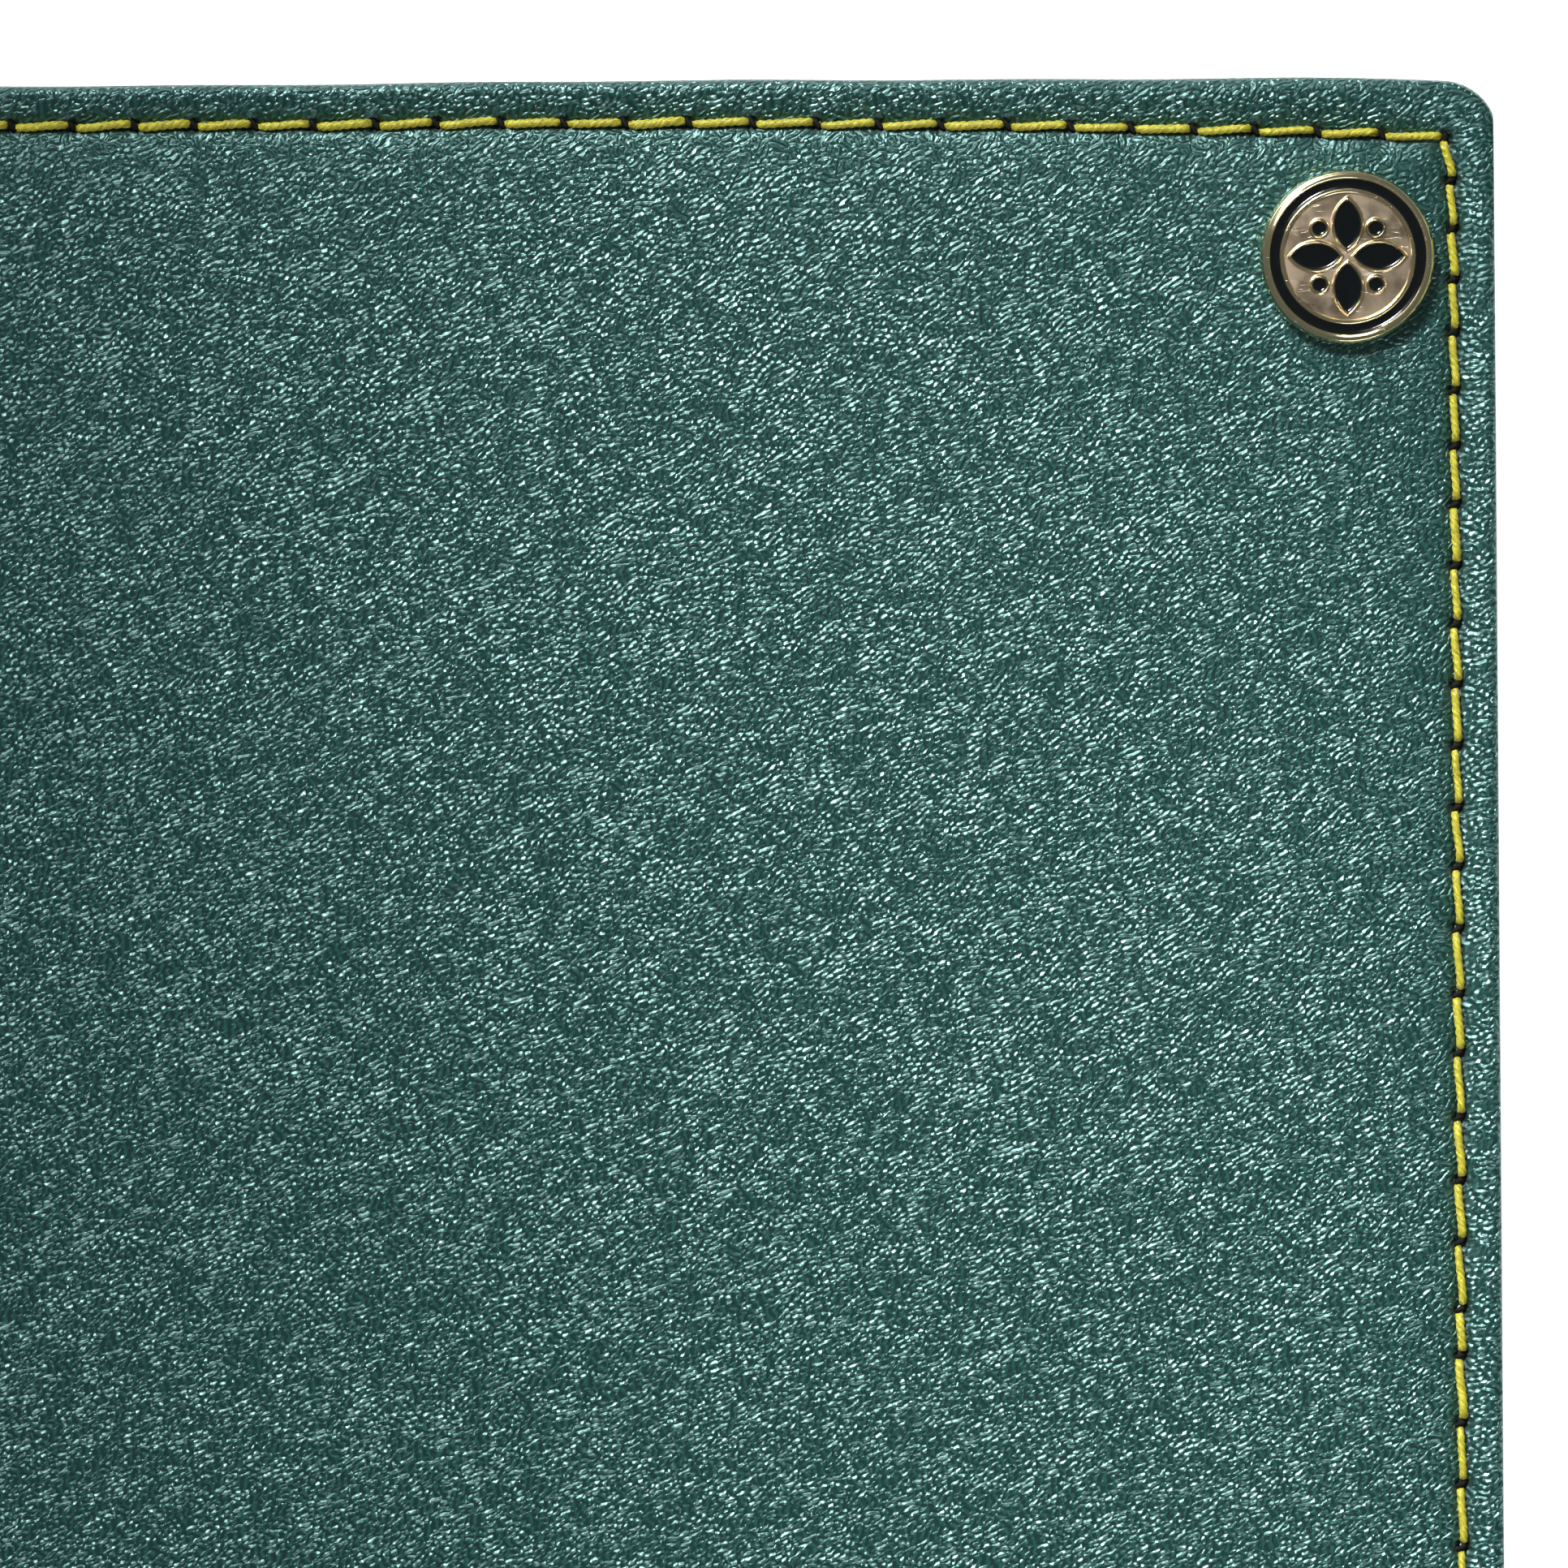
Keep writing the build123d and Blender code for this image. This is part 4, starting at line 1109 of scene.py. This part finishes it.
def badge_height(r, x, y):
    """The badge face's height above the leatherette."""
    top = BADGE_TOP - TOP_Z
    floor = FLOOR_Z - TOP_Z
    rim = top - 0.02
    # slightly domed disc, then a rounded line inside the ring's well
    z = floor + 0.05 * (1 - (np.minimum(r, 4.0) / 4.0) ** 2)
    crest = np.clip(1 - ((r - RING_IN + 0.16) / 0.15) ** 2, 0, 1)
    z = np.maximum(z, floor + (rim - floor) * np.sqrt(crest))
    # outer rim: narrow crest beside the well, a shallow hollow, then a broad roll down to the skirt
    wall = np.clip(1 - ((r - RING_OUT - 0.1) / 0.1) ** 2, 0, 1)
    past = np.clip((r - RING_OUT - 0.1) / (BADGE_R - RING_OUT - 0.1), 0, 1)
    roll = rim - 0.09 * np.sin(np.clip(past / 0.62, 0, 1) * math.pi)
    roll = roll - 0.9 * (1 - np.sqrt(np.maximum(1 - past**2.1, 0)))
    outer = np.where(r > RING_OUT + 0.1, roll, floor - 0.25 + (rim - floor + 0.25) * np.sqrt(wall))
    z = np.where(r > RING_OUT, outer, z)
    well = smoothstep((r - RING_IN + 0.02) / 0.05) * (r <= RING_OUT)
    z = np.where(well > 0, z * (1 - well) + (floor - 0.22) * well, z)
    # emblem
    sdf = emblem_distance(x, y)
    bead = np.clip(1 - ((sdf - 0.1) / 0.12) ** 2, 0, 1) ** 1.4
    inside = smoothstep(-sdf / 0.05)
    mark = np.maximum(z, floor + 0.03 + 0.16 * bead)
    mark = mark * (1 - inside) + (floor - 0.22) * inside
    return np.where((r < RING_IN - 0.32) & (sdf < 0.22), mark, z)


def on_badge(r, angle, height):
    """Points this far from the badge's middle and above the leatherette."""
    x, y, z = np.broadcast_arrays(BADGE_X + r * np.cos(angle), BADGE_Y + r * np.sin(angle), TOP_Z + height)
    return np.stack([x, y, z], -1)


def badge_face():
    """The badge's struck face, its rolled edge and its underside."""
    radii = clean(list(np.linspace(0.06, 3.75, 125)) + list(np.linspace(3.75, BADGE_R - 0.02, 80))
                  + [BADGE_R - 0.008, BADGE_R], 0.004)
    angles = np.arange(440) / 440 * 2 * math.pi
    r, a = np.meshgrid(radii, angles, indexing="ij")
    face = on_badge(r, a, badge_height(r, r * np.cos(a), r * np.sin(a)))
    under = [on_badge(radius, angles, height) for radius, height in (
        (BADGE_R, 0.18), (BADGE_R - 0.06, 0.03), (BADGE_R - 0.2, -0.02), (3.4, -0.02), (0.4, -0.02))]
    rings = np.concatenate([face, np.stack(under)])
    ids = ring_ids(*rings.shape[:2])
    return rings.reshape(-1, 3), grid_faces(ids) + [ids[0, :-1].tolist()[::-1], ids[-1, :-1].tolist()]


def box_part(x, y, z, bevel=0.06):
    """A small bevelled block between these pairs of limits."""
    pts = []
    size = z[1] - z[0]
    for t, shrink in ((0.0, bevel), (bevel / size, 0), (1 - bevel / size, 0), (1.0, bevel)):
        c = bevel * 0.7
        x0, x1, y0, y1 = x[0] + shrink, x[1] - shrink, y[0] + shrink, y[1] - shrink
        pts += [(*corner, z[0] + size * t) for corner in (
            (x0 + c, y0), (x1 - c, y0), (x1, y0 + c), (x1, y1 - c),
            (x1 - c, y1), (x0 + c, y1), (x0, y1 - c), (x0, y0 + c))]
    ids = ring_ids(4, 8)
    faces = grid_faces(ids, flip=True) + [ids[0, :-1].tolist()[::-1], ids[-1, :-1].tolist()]
    return np.array(pts), faces


def build_badge():
    """The badge with its two prongs, which go through the cover and are clenched behind it."""
    parts = [badge_face()]
    wide = (BADGE_Y - 0.8, BADGE_Y + 0.8)
    for side in (-1, 1):
        middle = BADGE_X + side * 2.6
        parts.append(box_part((middle - 0.25, middle + 0.25), wide, (BADGE_FOOT, TOP_Z + 0.05)))
        clenched = sorted((middle - side * 0.25, middle + side * 1.45))
        parts.append(box_part(clenched, wide, (BADGE_FOOT, BADGE_FOOT + 0.4)))
    bundle = Bundle()
    for points, faces in parts:
        bundle.take(points, faces, points[:, :2])
    return bundle.build("badge_face", [GOLD])


def enamel_field(name, pick, level, radii, meniscus=0.09):
    """Enamel that fills the wells which pick() selects, climbing a little at their walls."""
    r, a = np.meshgrid(radii, np.arange(360) / 360 * 2 * math.pi, indexing="ij")
    wall = pick(r, r * np.cos(a), r * np.sin(a))  # negative inside
    keep = (wall < 0.035).ravel()
    quads = np.array(grid_faces(ring_ids(*r.shape)))
    used, quads = np.unique(quads[keep[quads].all(axis=1)], return_inverse=True)
    n = len(used)
    top = on_badge(r, a, level + meniscus * np.exp(np.minimum(wall, 0.0) / 0.09)).reshape(-1, 3)[used]
    low = top.copy()
    low[:, 2] = TOP_Z + level - 0.12
    quads = quads.reshape(-1, 4)
    faces = quads.tolist() + (quads[:, ::-1] + n).tolist()
    edges = dict.fromkeys((q[i], q[(i + 1) % 4]) for q in quads.tolist() for i in range(4))
    faces += [[q, p, p + n, q + n] for p, q in edges if (q, p) not in edges]
    points = np.concatenate([top, low])
    piece = make_mesh(name, points, faces, uv=points[:, :2], materials=[ENAMEL])
    shade_by_angle(piece, 50)
    return piece


GOLD = gold_material(FLOOR_Z)
badge = build_badge()
shade_by_angle(badge, 60)
ring_enamel = enamel_field("badge_ring_fill",
                           lambda r, x, y: np.abs(r - (RING_IN + RING_OUT) / 2) - 0.275, 1.0,
                           np.linspace(RING_IN - 0.06, RING_OUT + 0.06, 18))
emblem_enamel = enamel_field("badge_emblem_fill", lambda r, x, y: emblem_distance(x, y), 1.02,
                             np.linspace(0.3, 3.6, 95))
for piece, node, slot in ((badge, "badge_body", "badge_metal"),
                          (ring_enamel, "badge_ring_enamel", "enamel_dark"),
                          (emblem_enamel, "badge_emblem_enamel", "enamel_dark")):
    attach(piece, "front_cover")
    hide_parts(node)

# ---------------------------------------------------------------- CAD nodes that stay

for node, material in (("front_board", BOARD), ("back_board", BOARD), ("spine_board", BOARD),
                       ("spine_gauze", GAUZE), ("binding_thread", LINEN),
                       ("spine_bobbin_thread", DARK_THREAD),
                       ("badge_washer", STEEL)):
    piece = frame["nodes"][node]
    piece.data.materials.clear()
    piece.data.materials.append(material)

# ---------------------------------------------------------------- floor, light, camera


def floor_material():
    n = Nodes("paper_white")
    soft = n.noise(n.position(), 3.0, detail=2.0)
    tone = n.mix(n.ramp(soft, 0.3, 0.7), (0.88, 0.88, 0.88, 1), (0.9, 0.9, 0.9, 1))
    return n.surface(Base_Color=tone, Roughness=0.9, Emission_Color=(1, 1, 1, 1), Emission_Strength=0.9)


def studio_world(overhead, horizon):
    """Soft surroundings, dimmer overhead."""
    world = bpy.data.worlds.new("studio")
    world.use_nodes = True
    tree = world.node_tree
    place = tree.nodes.new("ShaderNodeTexCoord")
    split = tree.nodes.new("ShaderNodeSeparateXYZ")
    level = tree.nodes.new("ShaderNodeMapRange")
    level.interpolation_type = "SMOOTHSTEP"
    for value, socket in zip((0.25, 0.95, horizon, overhead), list(level.inputs)[1:5]):
        socket.default_value = value
    tree.links.new(place.outputs["Generated"], split.inputs[0])
    tree.links.new(split.outputs["Z"], level.inputs[0])
    back = tree.nodes["Background"]
    back.inputs[0].default_value = (0.95, 0.98, 1.0, 1)
    tree.links.new(level.outputs[0], back.inputs[1])
    bpy.context.scene.world = world


VIEW_INSET = (44.05, 43.4)  # how far in from the fore-edge and the head the view's middle is
AIM = Vector(((EDGE_X - VIEW_INSET[0]) * MM, (HALF_Y - VIEW_INSET[1]) * MM, 0.0))


def aimed_lamp(name, kind, centre, turn, tilt, away, watts, **settings):
    """A lamp this many degrees round from +X and down from overhead, as seen from centre."""
    data = bpy.data.lights.new(name, kind)
    data.energy = watts
    for key, value in settings.items():
        setattr(data, key, value)
    lamp = bpy.data.objects.new(name, data)
    bpy.context.scene.collection.objects.link(lamp)
    turn, tilt = math.radians(turn), math.radians(tilt)
    lamp.location = centre + away * Vector((math.sin(tilt) * math.cos(turn), math.sin(tilt) * math.sin(turn),
                                            math.cos(tilt)))
    lamp.rotation_euler = (centre - lamp.location).to_track_quat("-Z", "Y").to_euler()
    lamp.visible_camera = False
    return lamp


def softbox(name, turn, tilt, away, size, watts):
    """A rectangular lamp aimed at the middle of the view."""
    aimed_lamp(name, "AREA", AIM, turn, tilt, away, watts, shape="RECTANGLE", size=size[0], size_y=size[1])


def snoot(name, across, up, turn, tilt, reach, watts, soft=0.03, diffuse=True):
    """A narrow soft beam on the cover, centred this far from the middle of the view. Without diffuse it adds
    to highlights only, as a lamp behind a polariser does."""
    away = 0.5
    centre = AIM + Vector((across, up, TOP_Z)) * MM
    lamp = aimed_lamp(name, "SPOT", centre, turn, tilt, away, watts, shadow_soft_size=soft,
                      spot_size=2 * math.atan(reach * MM / away), spot_blend=1.0)
    lamp.visible_diffuse = diffuse


softbox("key_head", 114, 46, 0.72, (0.45, 0.3), 0.5)
softbox("low_tail", 285, 74, 0.6, (0.3, 0.14), 0.9)
softbox("low_head", 132, 74, 0.6, (0.3, 0.14), 0.8)
snoot("beam_head", 6.0, 33.0, 112, 46, 42.0, 22.0, soft=0.09)
snoot("beam_edge", 60.0, -50.0, 116, 46, 90.0, 21.5, soft=0.09)
snoot("gloss_head", 3.0, 35.0, 112, 46, 40.0, 15.0, diffuse=False)
snoot("gloss_edge", 46.0, -38.0, 116, 46, 60.0, 11.0, diffuse=False)
# these two reach past the left and the tail of the view, to the open leaves and the rest of the cover
snoot("beam_spine", -124.0, -34.0, 112, 46, 80.0, 8.5)
snoot("beam_tail", -4.0, -104.0, 112, 46, 50.0, 4.6)
studio_world(0.12, 0.14)
bpy.context.scene.view_settings.view_transform = "Standard"

low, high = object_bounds()

bpy.ops.mesh.primitive_plane_add(size=24.0, location=(0, 0, min(low[2], 0.0)))
floor = bpy.context.object
floor.name = "floor"
floor.data.materials.append(floor_material())

CAMERA_HEIGHT = 0.62
FRAME_WIDTH = 96.6 * MM
camera_data = bpy.data.cameras.new("camera")
camera_data.sensor_width = 36.0
camera_data.lens = 36.0 * (CAMERA_HEIGHT - TOP_Z * MM) / FRAME_WIDTH
camera_data.clip_start = 0.01
camera_data.clip_end = 20.0
camera = bpy.data.objects.new("camera", camera_data)
bpy.context.scene.collection.objects.link(camera)
camera.location = (AIM.x, AIM.y, CAMERA_HEIGHT)
camera.rotation_euler = (0.0, 0.0, math.radians(-0.41))
bpy.context.scene.camera = camera
